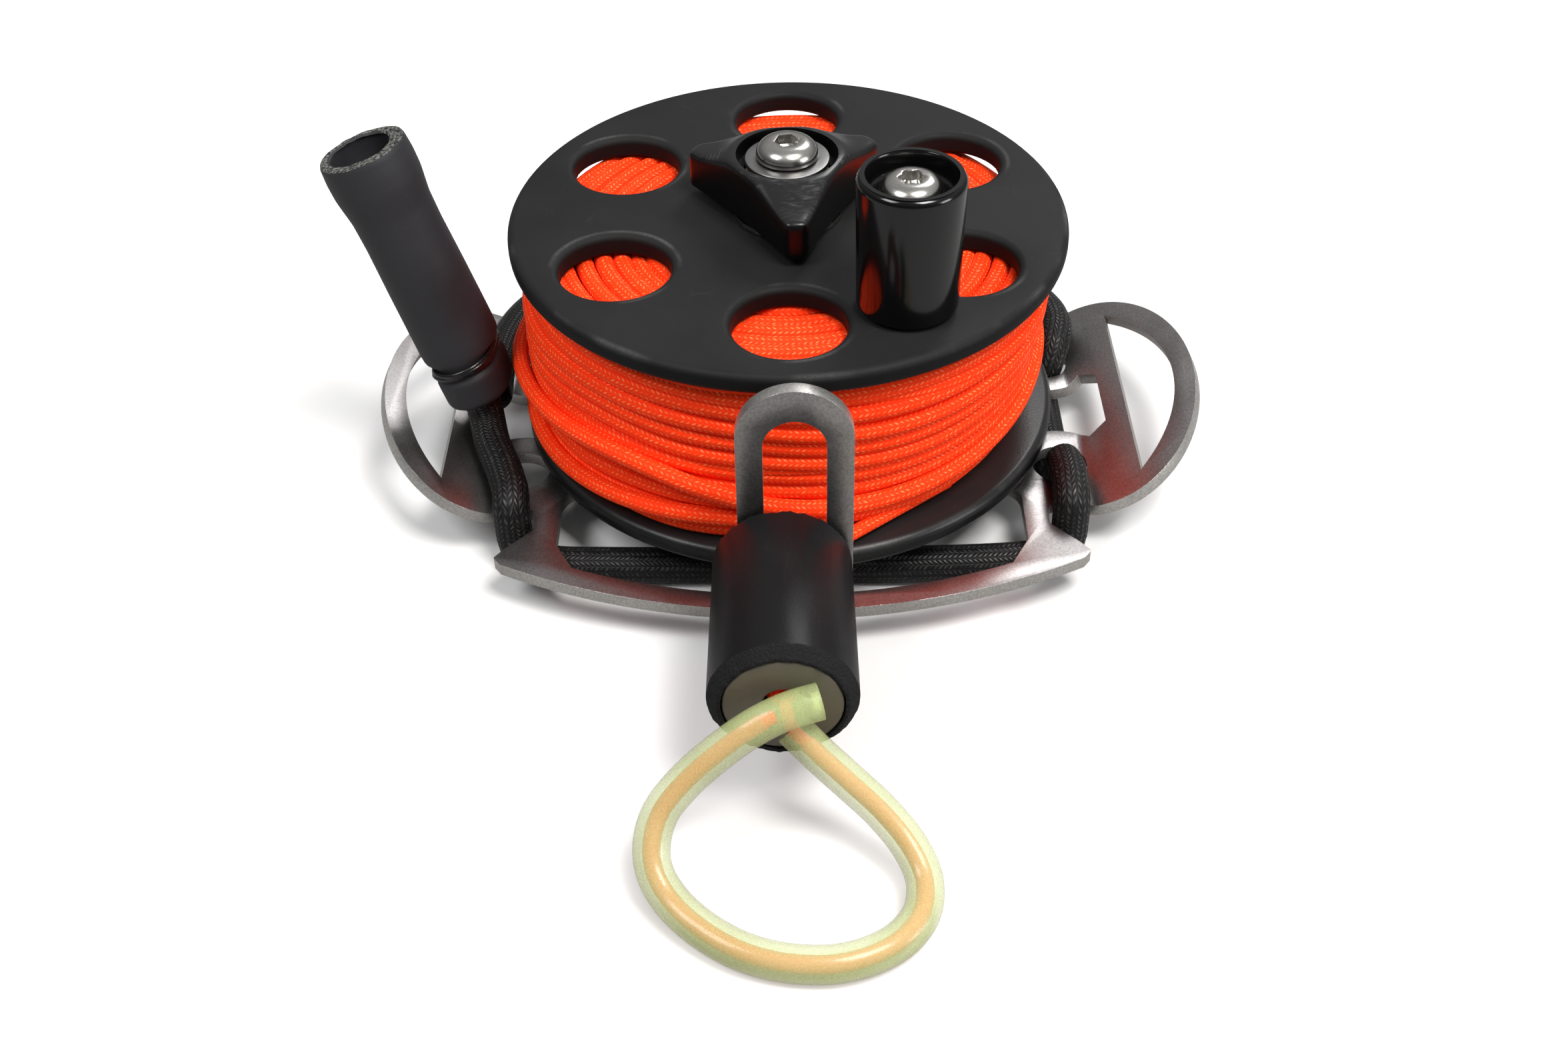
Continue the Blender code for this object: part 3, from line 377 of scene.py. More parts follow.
def braid_group():
    """Slanted stitches in columns along a cord, each column leaning the other way."""
    tree, given = group("braid", Pitch=0.00115, Columns=8.0, Slope=0.9)
    on_cord = new_node(tree, "SeparateXYZ", {0: new_node(tree, "UVMap", uv_map="along")["UV"]})
    column = on_cord["Y"] * given["Columns"]
    across = column.math("FRACT")
    number = column.math("FLOOR")
    lean = number.math("MODULO", 2.0) * -2.0 + 1.0
    along = on_cord["X"] / given["Pitch"] + (across - 0.5) * (lean * given["Slope"])
    stitch = (along.math("FRACT") * math.pi).math("SINE")
    side = across * 2.0 - 1.0
    hump = one_minus(side * side)
    cell = new_node(tree, "CombineXYZ", {0: along.math("FLOOR"), 1: number})["Vector"]
    tint = new_node(tree, "TexWhiteNoise", {"Vector": cell}, noise_dimensions="2D")["Value"]
    return giving(tree, Height=stitch.math("POWER", 0.7) * hump.math("POWER", 0.5),
                  Crest=(stitch * hump).math("POWER", 4.0), Tint=tint)


def grain_group():
    """Fine grain, broad clouds and thin scratches on Object coordinates."""
    tree, given = group("grain", Fine=900.0, Broad=60.0, Scratch=220.0)
    place = new_node(tree, "TexCoord")["Object"]
    fine = new_node(tree, "TexNoise", {"Vector": place, "Scale": given["Fine"], "Detail": 3.0})["Fac"]
    broad = new_node(tree, "TexNoise", {"Vector": place, "Scale": given["Broad"], "Detail": 4.0})["Fac"]
    warp = new_node(tree, "TexNoise", {"Vector": place, "Scale": 35.0})["Color"]
    moved = new_node(tree, "VectorMath", {0: warp, 1: (0.02, 0.02, 0.02), 2: place},
                     operation="MULTIPLY_ADD")["Vector"]
    edge = new_node(tree, "TexVoronoi", {"Vector": moved, "Scale": given["Scratch"]},
                    feature="DISTANCE_TO_EDGE")["Distance"]
    gate = new_node(tree, "TexNoise", {"Vector": place, "Scale": 140.0})["Fac"]
    scratch = one_minus(edge * 40.0).clamped() * (gate * 8.0 - 4.8).clamped()
    return giving(tree, Fine=fine, Broad=broad, Scratch=scratch)


braid = braid_group()
grain = grain_group()


def marks_on(shader, tree, **values):
    """A shared group placed in a material with its own values."""
    return new_node(shader.id_data, "Group", values, node_tree=tree)


def material(name, colour, roughness, metallic=0.0, specular=0.5, **sockets):
    mat = bpy.data.materials.new(name)
    mat.use_nodes = True
    mat.diffuse_color = (*colour, 1)
    shader = mat.node_tree.nodes["Principled BSDF"]
    shader.inputs["Base Color"].default_value = (*colour, 1)
    shader.inputs["Roughness"].default_value = roughness
    shader.inputs["Metallic"].default_value = metallic
    shader.inputs["Specular IOR Level"].default_value = specular
    for label, value in sockets.items():
        shader.inputs[label.replace("_", " ")].default_value = value
    return mat, shader


def coloured(shader, factor, *stops):
    """Base colour along a factor, by stops of place and colour."""
    tree = shader.id_data
    ramp = tree.nodes.new("ShaderNodeValToRGB")
    elements = ramp.color_ramp.elements
    for _ in stops[2:]:
        elements.new(0.5)
    for element, (place, colour) in zip(elements, stops):
        element.position = place
        element.color = (*colour, 1)
    tree.links.new(factor.socket, ramp.inputs[0])
    tree.links.new(ramp.outputs[0], shader.inputs["Base Color"])


def spread(shader, label, factor, low, high, low_at=0.3, high_at=0.7):
    """A socket's value from low to high as a factor goes from one value to another."""
    tree = shader.id_data
    value = new_node(tree, "MapRange", {0: factor, 1: low_at, 2: high_at, 3: low, 4: high})["Result"]
    tree.links.new(value.socket, shader.inputs[label])


def bumped(shader, height, distance):
    tree = shader.id_data
    normal = new_node(tree, "Bump", {"Height": height, "Distance": distance, "Strength": 1.0})["Normal"]
    tree.links.new(normal.socket, shader.inputs["Normal"])


def about_axis(tree):
    """Object x and y, the height, and the distance from the Z axis."""
    place = new_node(tree, "SeparateXYZ", {0: new_node(tree, "TexCoord")["Object"]})
    return place["X"], place["Y"], place["Z"], far_from(place["X"], place["Y"])


def facing_up(tree):
    return new_node(tree, "SeparateXYZ", {0: new_node(tree, "NewGeometry")["Normal"]})["Z"]


def braided_material(name, dark, bright, painted_crest_glint, pitch, columns, slope, depth, roughness, specular):
    """Plaited sheath: colour painted darker between the stitches as painted shade, and paler on their crests
    as painted glints.
    """
    mat, shader = material(name, bright, roughness, specular=specular)
    stitches = marks_on(shader, braid, Pitch=pitch, Columns=columns, Slope=slope)
    marks = marks_on(shader, grain, Fine=6000.0, Broad=120.0)
    level = stitches["Tint"] * 0.16 + stitches["Height"] * 0.84
    # Painted shade and glint: the dark stop is shade in the stitch grooves, the palest stop a glint on the
    # crests
    coloured(shader, level, (0.02, dark), (0.34, bright), (0.78, bright), (0.93, painted_crest_glint))
    spread(shader, "Roughness", stitches["Crest"], roughness + 0.2, roughness - 0.08, 0.0, 1.0)
    bumped(shader, marks["Fine"] * 0.10 + stitches["Height"], depth)
    return mat


def moulded_material(name, colour, roughness, uneven, fine, depth, scratch=0.0, specular=0.5, **sockets):
    """Plastic or rubber, a little paler where it is soiled or scratched."""
    mat, shader = material(name, colour, roughness, specular=specular, **sockets)
    marks = marks_on(shader, grain, Fine=fine)
    pale = tuple(min(1.0, c * 1.6 + 0.012) for c in colour)
    soil = (marks["Broad"] * 0.45 + marks["Scratch"] * (0.8 * scratch)).clamped()
    coloured(shader, soil, (0.15, colour), (1.0, pale))
    spread(shader, "Roughness", marks["Broad"], roughness - uneven, roughness + uneven)
    bumped(shader, marks["Scratch"] * (-1.5 * scratch) + marks["Fine"], depth)
    return mat


def sawn_material(name, dark, pale, fine, depth):
    """Torn or sawn rubber."""
    mat, shader = material(name, dark, 0.9, specular=0.2)
    marks = marks_on(shader, grain, Fine=fine)
    coloured(shader, marks["Fine"], (0.42, dark), (0.66, pale))
    bumped(shader, marks["Fine"], depth)
    return mat


def flange_material(name, smoothest, roughest, specular):
    """Black discs, scuffed along the windows' rims and the outer edge, with their side faces painted darker
    as painted shade.
    """
    mat, shader = material(name, (0.011, 0.011, 0.0115), (smoothest + roughest) / 2, specular=specular)
    marks = marks_on(shader, grain, Fine=3000.0, Broad=55.0, Scratch=120.0)
    x, y, _, out = about_axis(mat.node_tree)
    lean = y.math("ARCTAN2", x).math("FLOORED_MODULO", math.pi / 3) - math.pi / 6
    from_window = far_from(out * lean.math("SINE"), out * lean.math("COSINE") - window_ring_r)

    def band(distance, middle, reach):
        return one_minus((distance - middle).math("ABSOLUTE") / reach).clamped()

    round_windows = band(from_window, window_hole_r + 0.0015, 0.0006)
    worn = round_windows.math("MAXIMUM", band(out, flange_r - 0.0006, 0.0007))
    scuff = worn * (marks["Broad"] * 6.0 - 2.9).clamped() * marks["Fine"]
    soil = ((scuff * 0.9 + marks["Scratch"] * 0.05).clamped() + marks["Broad"] * 0.10).clamped()
    # Painted shade: faces that look neither up nor down keep only a quarter of the colour
    side_painted_shade_factor = (facing_up(mat.node_tree).math("ABSOLUTE") * 1.6 - 0.3).clamped()
    coloured(shader, (soil + 0.068) * (side_painted_shade_factor * 0.75 + 0.25), (0.0, (0.0030, 0.0029, 0.0032)),
             (1.0, (0.10, 0.10, 0.10)))
    spread(shader, "Roughness", marks["Broad"], smoothest, roughest)
    bumped(shader, marks["Scratch"] * -0.15 + marks["Fine"], 0.000025)
    return mat


def knob_material():
    """Gloss black, hand-finished: fine streaks round the axis and a few deeper scratches. Faces that look up
    are painted paler, and the streaks on them paler still, as painted highlight.
    """
    mat, shader = material("knob_black", (0.0030, 0.0030, 0.0034), 0.16, specular=0.28)
    tree = mat.node_tree
    marks = marks_on(shader, grain, Fine=1400.0, Broad=150.0, Scratch=260.0)
    x, y, z, out = about_axis(tree)
    unrolled = new_node(tree, "CombineXYZ", {0: z * 0.6 + out, 1: y.math("ARCTAN2", x) * 0.0016})["Vector"]
    streaks = new_node(tree, "TexNoise", {"Vector": unrolled, "Scale": 3600.0, "Detail": 3.0})["Fac"]
    top_painted_lighter = (facing_up(tree) * 3.0 - 1.2).clamped()
    sanding_streaks_painted_highlight = (streaks * 5.0 - 2.4).clamped() * (marks["Broad"] * 7.0 - 3.4).clamped() * top_painted_lighter
    # Painted highlight: base colour raised on upward faces, more on the sanding streaks there; the streaks'
    # bump is real
    coloured(shader, sanding_streaks_painted_highlight * 0.75 + top_painted_lighter * 0.25, (0.0, (0.0012, 0.0012, 0.0014)),
             (1.0, (0.0420, 0.0415, 0.0440)))
    spread(shader, "Roughness", sanding_streaks_painted_highlight * -0.35 + top_painted_lighter, 0.34, 0.25, 0.0, 1.0)
    bumped(shader, marks["Scratch"] * -0.5 + sanding_streaks_painted_highlight, 0.000006)
    return mat


def steel_material(name, colour, roughness, uneven, speckle, depth=0.00002):
    mat, shader = material(name, colour, roughness, 1.0)
    marks = marks_on(shader, grain, Fine=2600.0, Broad=75.0, Scratch=160.0)
    dark = tuple(c * (1 - speckle) for c in colour)
    coloured(shader, marks["Broad"] * 0.45 + marks["Fine"], (0.55, dark), (0.85, colour))
    spread(shader, "Roughness", marks["Broad"], roughness - uneven, roughness + uneven)
    bumped(shader, marks["Scratch"] * -0.6 + marks["Fine"], depth)
    return mat


def luminous_material():
    mat, shader = material("luminous_tube", (0.66, 0.70, 0.38), 0.26, Coat_Weight=0.3, Coat_Roughness=0.05)
    marks = marks_on(shader, grain, Fine=3600.0, Broad=90.0, Scratch=300.0)
    coloured(shader, marks["Broad"], (0.35, (0.54, 0.625, 0.275)), (0.65, (0.60, 0.685, 0.325)))
    spread(shader, "Alpha", marks["Fine"], 0.42, 0.50, 0.42, 0.60)
    return mat


def haze_material():
    """The blur of the line in the tube's milky wall."""
    mat, shader = material("tube_haze", (0.88, 0.225, 0.070), 0.6, specular=0.1)
    spread(shader, "Alpha", marks_on(shader, grain, Fine=4200.0)["Fine"], 0.45, 1.0, 0.42, 0.60)
    return mat


def floor_material():
    """Pale to the camera and darker to the rest, so that it sends less light up."""
    mat, shader = material("pale_floor", (0.84, 0.84, 0.84), 0.8, specular=0.1)
    seen_direct = new_node(mat.node_tree, "LightPath")["Is Camera Ray"]
    coloured(shader, seen_direct, (0.0, (0.36, 0.36, 0.36)), (1.0, (0.84, 0.84, 0.84)))
    return mat


# In both braids the dark colour is painted shade between stitches, and the pale colour is painted glints on
# their crests
line_look = braided_material(
    "line_orange", (0.96, 0.030, 0.003), (1.0, 0.046, 0.005), (1.0, 0.22, 0.080),
    pitch=0.00100, columns=12, slope=0.95, depth=0.000035, roughness=0.50, specular=0.10)
bungee_look = braided_material(
    "bungee_braid", (0.0006, 0.0006, 0.0006), (0.0020, 0.0020, 0.0024), (0.045, 0.045, 0.043),
    pitch=0.00092, columns=20, slope=1.0, depth=0.00012, roughness=0.32, specular=0.28)
# Painted shade: the inner turns get the dark red of the shade between the strands, not the line's own orange
painted_shade_bed_look, _ = material("line_bed_painted_shade", (0.40, 0.008, 0.002), 0.8, specular=0.1)
plate_look = steel_material("plate_steel", (0.36, 0.345, 0.34), 0.36, 0.04, 0.28, 0.000012)
wall_look = steel_material("plate_steel_cut_wall", (0.56, 0.545, 0.52), 0.44, 0.05, 0.30)
edge_look = steel_material("plate_steel_worn_edge", (0.78, 0.76, 0.73), 0.24, 0.06, 0.12)
bright_look = steel_material("stainless_bright", (0.50, 0.49, 0.465), 0.22, 0.05, 0.10, 0.000006)
washer_look = steel_material("stainless_washer", (0.30, 0.297, 0.295), 0.34, 0.05, 0.12, 0.000006)
brass_look = steel_material("brass", (0.60, 0.43, 0.18), 0.30, 0.05, 0.15)
flange_look = flange_material("flange_black", 0.50, 0.62, 0.10)
lower_look = flange_material("flange_black_clean", 0.26, 0.36, 0.22)
knob_look = knob_material()
gloss_look = moulded_material("gloss_black", (0.0018, 0.0018, 0.0020), 0.15, 0.02, fine=900.0,
                              depth=0.000004, scratch=0.08, specular=0.42)
rubber_look = moulded_material("bumper_rubber", (0.0062, 0.0060, 0.0066), 0.38, 0.04, fine=2500.0,
                               depth=0.00002, scratch=0.25, specular=0.19)
bumper_cut_look = moulded_material("bumper_cut_face", (0.0085, 0.0085, 0.0095), 0.85, 0.05, fine=2300.0,
                                   depth=0.00045, scratch=0.2, specular=0.2)
sleeve_look = moulded_material("sleeve_rubber", (0.0165, 0.0165, 0.0195), 0.58, 0.05, fine=3500.0,
                               depth=0.00003, scratch=0.1, specular=0.35)
sleeve_cut_look = sawn_material("sleeve_cut_rim", (0.020, 0.020, 0.021), (0.20, 0.20, 0.185),
                                fine=2000.0, depth=0.0006)
tie_look = moulded_material("tie_black", (0.004, 0.004, 0.004), 0.24, 0.08, fine=1800.0, depth=0.00005,
                            scratch=0.2, specular=0.45)
slip_look = moulded_material("slip_white", (0.55, 0.55, 0.53), 0.5, 0.05, fine=1200.0, depth=0.00002,
                             scratch=0.1)
core_look = moulded_material("core_green", (0.095, 0.085, 0.060), 0.40, 0.06, fine=1500.0, depth=0.00003,
                             scratch=0.1, Subsurface_Weight=0.5, Subsurface_Radius=(0.003, 0.003, 0.002))
tube_look = luminous_material()
haze_look = haze_material()
floor_look = floor_material()

# Camera, solved from the photo
image_w = 2352
focal_px = 2700.0
sensor_w = 36.0
camera_at = Vector((-0.00017, -0.28458, 0.22718))
camera_target = Vector((-0.00159, 0.0, -0.02073))
camera_roll = math.radians(-0.91)

camera_data = bpy.data.cameras.new("camera")
camera_data.sensor_width = sensor_w
camera_data.lens = sensor_w * focal_px / image_w
camera_data.clip_start = 0.01
camera_data.clip_end = 20.0
camera = linked("camera", camera_data)
bpy.context.scene.camera = camera
back = (camera_at - camera_target).normalized()
right = Vector((0, 0, 1)).cross(back).normalized()
up = back.cross(right)
rolled_right = right * math.cos(camera_roll) + up * math.sin(camera_roll)
rolled_up = back.cross(rolled_right)
camera.matrix_world = Matrix.Translation(camera_at) @ Matrix(
    (rolled_right, rolled_up, back)).transposed().to_4x4()

# Line from the pack, through the guide, to its knot in the bumper
leave_angle = math.radians(-51.7)
leave_out_r, leave_gap, leave_lift = 0.0452, 0.0003, 0.0005
leave_r = leave_out_r - line_r
leave_z = line_floor_z + leave_gap + line_r + leave_lift
run_dir = np.array([math.sin(leave_angle), -math.cos(leave_angle), 0.0])
leave_at = np.array([leave_r * math.cos(leave_angle), leave_r * math.sin(leave_angle), leave_z])
run_off_l = 0.0240
guide_entry = np.array([bumper_x, -0.0582, bumper_z])
knot_gap = 0.0003
knot_back_y = bumper_rear_y - bumper_l + core_well_h - knot_gap
lead_from = leave_at + run_dir * (run_off_l - 3 * line_d)
lead_route = [leave_at + run_dir * line_d * k for k in (-0.5, 1, 2.5, 4)]
lead_route += [lead_from + run_dir * line_d * k for k in range(4)]
lead_route += [
    (leave_at + run_dir * run_off_l + guide_entry) / 2, guide_entry - unit(guide_entry - lead_from) * line_r,
    guide_entry, (bumper_x, bumper_rear_y - 3 * line_d, bumper_z),
    (bumper_x, knot_back_y + line_d, bumper_z), (bumper_x, knot_back_y + knot_gap, bumper_z)]
lead_step = 0.0012
lead_points = smooth_route(lead_route, lead_step)
lead = laid_tube(lead_points, line_r, line_r, sides=14)

# Knot: the line turned twice round itself in the core's hole
knot_turns = 2.15
knot_r, knot_deep, knot_l, knot_wave = 0.00135, 0.0014, 0.0040, 0.0002
knot_route = []
for share in np.linspace(0, 1, 61):
    turn = 2 * math.pi * knot_turns * share
    wide = knot_r * (1 - 0.25 * math.cos(turn / 2))
    x, z = polar(wide, turn, bumper_x, bumper_z)
    knot_route.append((x, knot_back_y - knot_deep - knot_l * share - knot_wave * math.sin(turn * 1.5), z))
knot = laid_tube(knot_route, line_r, line_r, sides=14)

# Loop and its luminous tube, in millimetres from the origin
loop_route = [
    (0.4, -96.2, 19.9), (3.8, -98.4, 17.3), (9.0, -101.4, 13.5), (13.4, -104.1, 10.3), (17.6, -108.2, 6.9),
    (19.6, -112.6, 4.6), (19.1, -117.6, 3.4), (16.2, -122.0, 3.1), (11.8, -125.0, 3.0), (6.5, -126.7, 3.0),
    (1.9, -126.9, 3.0), (-3.1, -126.2, 3.0), (-8.7, -124.2, 3.1), (-14.6, -120.3, 3.4), (-19.0, -116.2, 4.5),
    (-21.6, -112.4, 6.6), (-22.1, -109.0, 9.2), (-20.8, -105.6, 12.4), (-17.0, -102.9, 16.4),
    (-11.2, -100.5, 21.0), (-5.6, -98.9, 24.7), (-0.8, -97.6, 26.5), (4.0, -96.4, 27.2)]
loop_step = 0.0012
loop_points = smooth_route(np.array(loop_route) * MM, loop_step)
loop_start = loop_points[0] + (loop_points[0] - loop_points[1])
loop_tube = laid_tube(np.vstack([loop_start, loop_points]), tube_d / 2, tube_d / 2, sides=40)
mouth, mouth_dir = loop_points[-1], unit(loop_points[-1] - loop_points[-2])
mouth_r, mouth_deep, mouth_past = 0.0016, 0.0012, 0.0020
mouth_route = [mouth - mouth_dir * mouth_deep, mouth, mouth + mouth_dir * mouth_past]
cut_by(loop_tube, laid_tube(mouth_route, mouth_r, mouth_r, sides=24))

loop_tail, cord_step = 0.0072, 0.0010
loop_line_r, haze_r, haze_from = 0.00110, 0.00142, 0.0080
from_knot = [(-0.0014, -0.0924, 0.0235), (-0.0010, -0.0942, 0.0225)]
loop_in = loop_points[0] + unit(loop_points[0] - loop_points[1]) * line_r
loop_knots = np.vstack([from_knot, loop_in, loop_points[1:-round(loop_tail / loop_step)]])
if len(loop_knots) % 2:
    spaced_knots = loop_knots[::2]
else:
    spaced_knots = np.vstack([loop_knots[:-1:2], loop_knots[-1]])
cord_points = smooth_route(spaced_knots, cord_step)
line_loop = laid_tube(cord_points, loop_line_r, loop_line_r, sides=14)
tube_haze = laid_tube(cord_points[round(haze_from / cord_step):-2], haze_r, haze_r, sides=24)

for obj, name, mat, slot, nodes in (
        (loop_tube, "luminous_tube", tube_look, "luminous_tube", ["loop_tube"]),
        (line_loop, "loop_line", line_look, "line", ["line_loop"]),
        (tube_haze, "loop_haze", haze_look, "luminous_tube", []),
        (knot, "loop_knot", line_look, "line", ["line_knot"]),
        (lead, "lead_line", line_look, "line", ["line_lead"])):
    finished(obj, name, "frame", mat, slot, *nodes, angle=50 if obj is loop_tube else 38)

# Bumper on the line, sawn at a slope in front so that its core stands proud
core_proud = 0.0019
sawn_h = bumper_l + core_proud
bumper_front_r, bumper_rear_r, bumper_bore_r, bumper_mouth_r = 0.01205, 0.01155, 0.0097, 0.0103
core_r, core_bore_r = 0.0095, 0.0018
sawn_reach, waist_from_r, cut_face_from_r = 0.0008, 0.0105, 0.0101
torn_h, torn_fine_h, front_set, rear_set, bumper_gap = 0.00012, 0.00008, 0.0001, 0.0003, 0.0002
bumper_rounds, core_rounds = (0.0005, 0.0008, 0.0002, 0.0002, 0.0004), (0.0004, 0, 0, 0, 0, 0.0006)
bumper_profile = eased(
    [(bumper_front_r, bumper_l), (bumper_rear_r, 0), (bumper_bore_r, 0), (bumper_bore_r, sawn_h),
     (bumper_mouth_r, sawn_h)], bumper_rounds, steps=4)
bumper = turned(bumper_profile, sides=96)
bm = edit(bumper)
for vert in bm.verts:
    x, y, z = vert.co
    angle = math.atan2(y, x)
    waist = 1 + 0.012 * math.sin(z / bumper_l * 3.0 + 1.4) + 0.006 * math.sin(2 * angle + 40 * z)
    ragged = torn_h * math.sin(angle * 17 + 2 * math.sin(angle * 5)) + torn_fine_h * math.sin(angle * 41)
    if z > bumper_l - sawn_reach:
        vert.co.z += ragged - front_set
    elif z < sawn_reach:
        vert.co.z += rear_set - 1.6 * ragged
    if math.hypot(x, y) > waist_from_r:
        vert.co.x *= waist
        vert.co.y *= waist
bmesh.update_edit_mesh(bumper.data)
leave()
core_front = sawn_h - front_set
core_profile = eased(
    [(core_r, core_front), (core_r, 0), (core_bore_r, 0), (core_bore_r, bumper_l - core_well_h),
     (core_well_r, bumper_l - core_well_h), (core_well_r, core_front)], core_rounds, steps=4)
bumper_core = turned(core_profile, sides=72)
for obj, rear_y in ((bumper, bumper_rear_y - bumper_gap), (bumper_core, bumper_rear_y)):
    obj.rotation_euler = (math.pi / 2, 0, 0)
    obj.location = (bumper_x, rear_y, bumper_z)
finished(bumper, "bumper_tube", "frame", rubber_look, "bumper_rubber", "bumper_sleeve")
finished(bumper_core, "bumper_plug", "frame", core_look, "core_plastic", "bumper_core")
bumper.data.materials.append(bumper_cut_look)
for face in bumper.data.polygons:
    past_mouth = math.hypot(face.center.x - bumper_x, face.center.z - bumper_z) > cut_face_from_r
    if abs(face.normal.y) > 0.75 or (face.normal.y < -0.3 and past_mouth):
        face.material_index = 1

# Bungee through the plate, in millimetres from the origin
bungee_route = [
    (-61.4, -10.9, 30.3), (-60.2, -11.2, 26.2), (-59.0, -11.4, 22.5), (-58.1, -11.7, 19.6),
    (-57.8, -12.4, 17.8), (-57.4, -13.9, 16.2), (-56.7, -16.4, 15.0), (-55.5, -19.4, 14.4),
    (-54.0, -23.0, 14.0), (-52.8, -26.6, 13.7), (-51.9, -29.7, 13.4), (-51.6, -32.7, 12.1),
    (-51.5, -33.7, 8.9), (-51.1, -34.8, 5.7), (-49.9, -36.2, 3.7), (-47.4, -37.5, 3.4), (-43.0, -38.6, 3.4),
    (-36.0, -39.0, 3.4),
    (-18.0, -39.4, 3.4), (0.0, -39.6, 3.4), (18.0, -39.8, 3.4), (36.0, -39.4, 3.4), (43.0, -38.8, 3.4),
    (47.4, -37.6, 3.4), (49.9, -36.2, 3.7), (51.2, -34.8, 5.6), (51.5, -33.7, 8.9), (51.6, -32.6, 12.1),
    (51.6, -29.7, 13.5), (51.6, -26.9, 13.8), (51.5, -24.1, 13.5), (51.4, -21.3, 12.3), (51.4, -20.2, 9.7),
    (51.4, -18.6, 7.3), (51.4, -16.6, 4.7), (51.3, -14.4, 3.5), (51.3, -9.0, 3.4), (51.3, 2.0, 3.4),
    (51.3, 7.4, 3.35), (51.3, 9.7, 3.45), (51.4, 12.0, 4.7), (51.7, 12.9, 7.2), (52.5, 13.6, 10.0),
    (53.7, 16.0, 13.0), (54.6, 21.0, 13.9), (53.2, 28.4, 13.6), (48.2, 36.0, 13.2), (38.6, 45.0, 12.7),
    (24.0, 53.6, 12.2), (0.0, 58.4, 11.9), (-24.0, 54.0, 12.2), (-39.0, 45.4, 12.8), (-49.0, 36.0, 13.5),
    (-54.6, 27.0, 14.2), (-57.3, 18.0, 14.7), (-58.2, 10.0, 14.9), (-58.1, 3.6, 14.8), (-57.8, -0.6, 14.9),
    (-57.6, -3.0, 16.2), (-57.7, -4.2, 18.3), (-58.1, -4.5, 20.0), (-59.0, -4.2, 22.5), (-60.2, -4.0, 26.2),
    (-61.4, -3.7, 30.3)]
bungee_step = 0.0011
bungee_points = smooth_route(np.array(bungee_route) * MM, bungee_step)
bungee_points[:, 2] = np.maximum(bungee_points[:, 2], bungee_r)
bungee = laid_tube(bungee_points, bungee_r, bungee_r, sides=28)
finished(bungee, "bungee_braid", "frame", bungee_look, "bungee", "bungee_cord")

# Line on the spool
strand_w = 0.00170
strand_h = 0.00158
strand_sides = 14
strand_gap = 0.0002
a_turn = 120
bed_turns = 9
first_angle = math.radians(-50)
low_z = line_floor_z + strand_w + strand_gap
high_z = upper_flange_z - strand_w - strand_gap
pack_low_r, pack_mid_r, pack_top_r = 0.0463, 0.0489, 0.0482
pack_mid_share = 0.52
rear_slump = 0.0008
rear_gap, rear_gap_z, rear_gap_h = 0.0009, 0.0410, 0.0040
# How far the turns wander, each over a number of steps
bed_wander, row_wander, proud_wander = (26, 0.00018), (22, 0.00016), (30, 0.00028)
top_r_wander, top_z_wander = (28, 0.00030), (24, 0.00020)
# Degrees clockwise from the first row's start, and the mm added there at the bottom, middle and top
round_pack = np.array([
    (0, -1.0, -0.3, 0.3), (25, -0.2, 0.0, 0.0), (52, 1.3, 0.0, 0.0), (68, 2.7, 0.6, -0.2),
    (110, 3.0, 1.4, -1.2), (130, 2.6, 1.4, -1.9), (200, 1.0, 0.4, -0.8), (285, 0.0, -0.2, 0.0),
    (320, -1.1, -0.9, 0.2), (360, -1.0, -0.3, 0.3)])


def pack_outer_r(z, low=pack_low_r, mid=pack_mid_r, top=pack_top_r):
    """Radius of the pack's outer face at a height."""
    share = np.clip((z - low_z) / (high_z - low_z), 0, 1)
    rise = low + (mid - low) * np.sin(np.minimum(share / pack_mid_share, 1) * math.pi / 2)
    fall = mid - (mid - top) * np.clip((share - pack_mid_share) / (1 - pack_mid_share), 0, 1) ** 2
    return np.where(share < pack_mid_share, rise, fall)


def pack_r(z, angle):
    """As pack_outer_r, but fuller at the left and drawn in at the top of the rear, where the floor shows."""
    behind = np.clip((np.sin(angle) - 0.15) / 0.30, 0, 1)
    round_at = np.degrees(first_angle - angle) % 360
    low, mid, top = (radius + np.interp(round_at, round_pack[:, 0], round_pack[:, k]) * MM
                     for k, radius in ((1, pack_low_r), (2, pack_mid_r), (3, pack_top_r)))
    return pack_outer_r(z, low, mid, top) - rear_gap * behind * np.clip((z - rear_gap_z) / rear_gap_h, 0, 1)


def rearward(angle):
    return np.maximum(0.0, np.sin(angle)) ** 1.5


def softened(values, reach):
    kernel = np.hanning(2 * reach + 3)[1:-1]
    return np.convolve(np.pad(values, reach, mode="edge"), kernel / kernel.sum(), mode="valid")


# Bed: close turns that climb from the lower disc to the upper one
s_bed = np.arange(0, bed_turns, 1 / a_turn)
climb = s_bed / bed_turns
slump = rear_slump * rearward(first_angle - 2 * math.pi * s_bed) * climb ** 3
z_bed = low_z + (high_z - low_z) * climb - slump + wander(len(s_bed), *bed_wander)
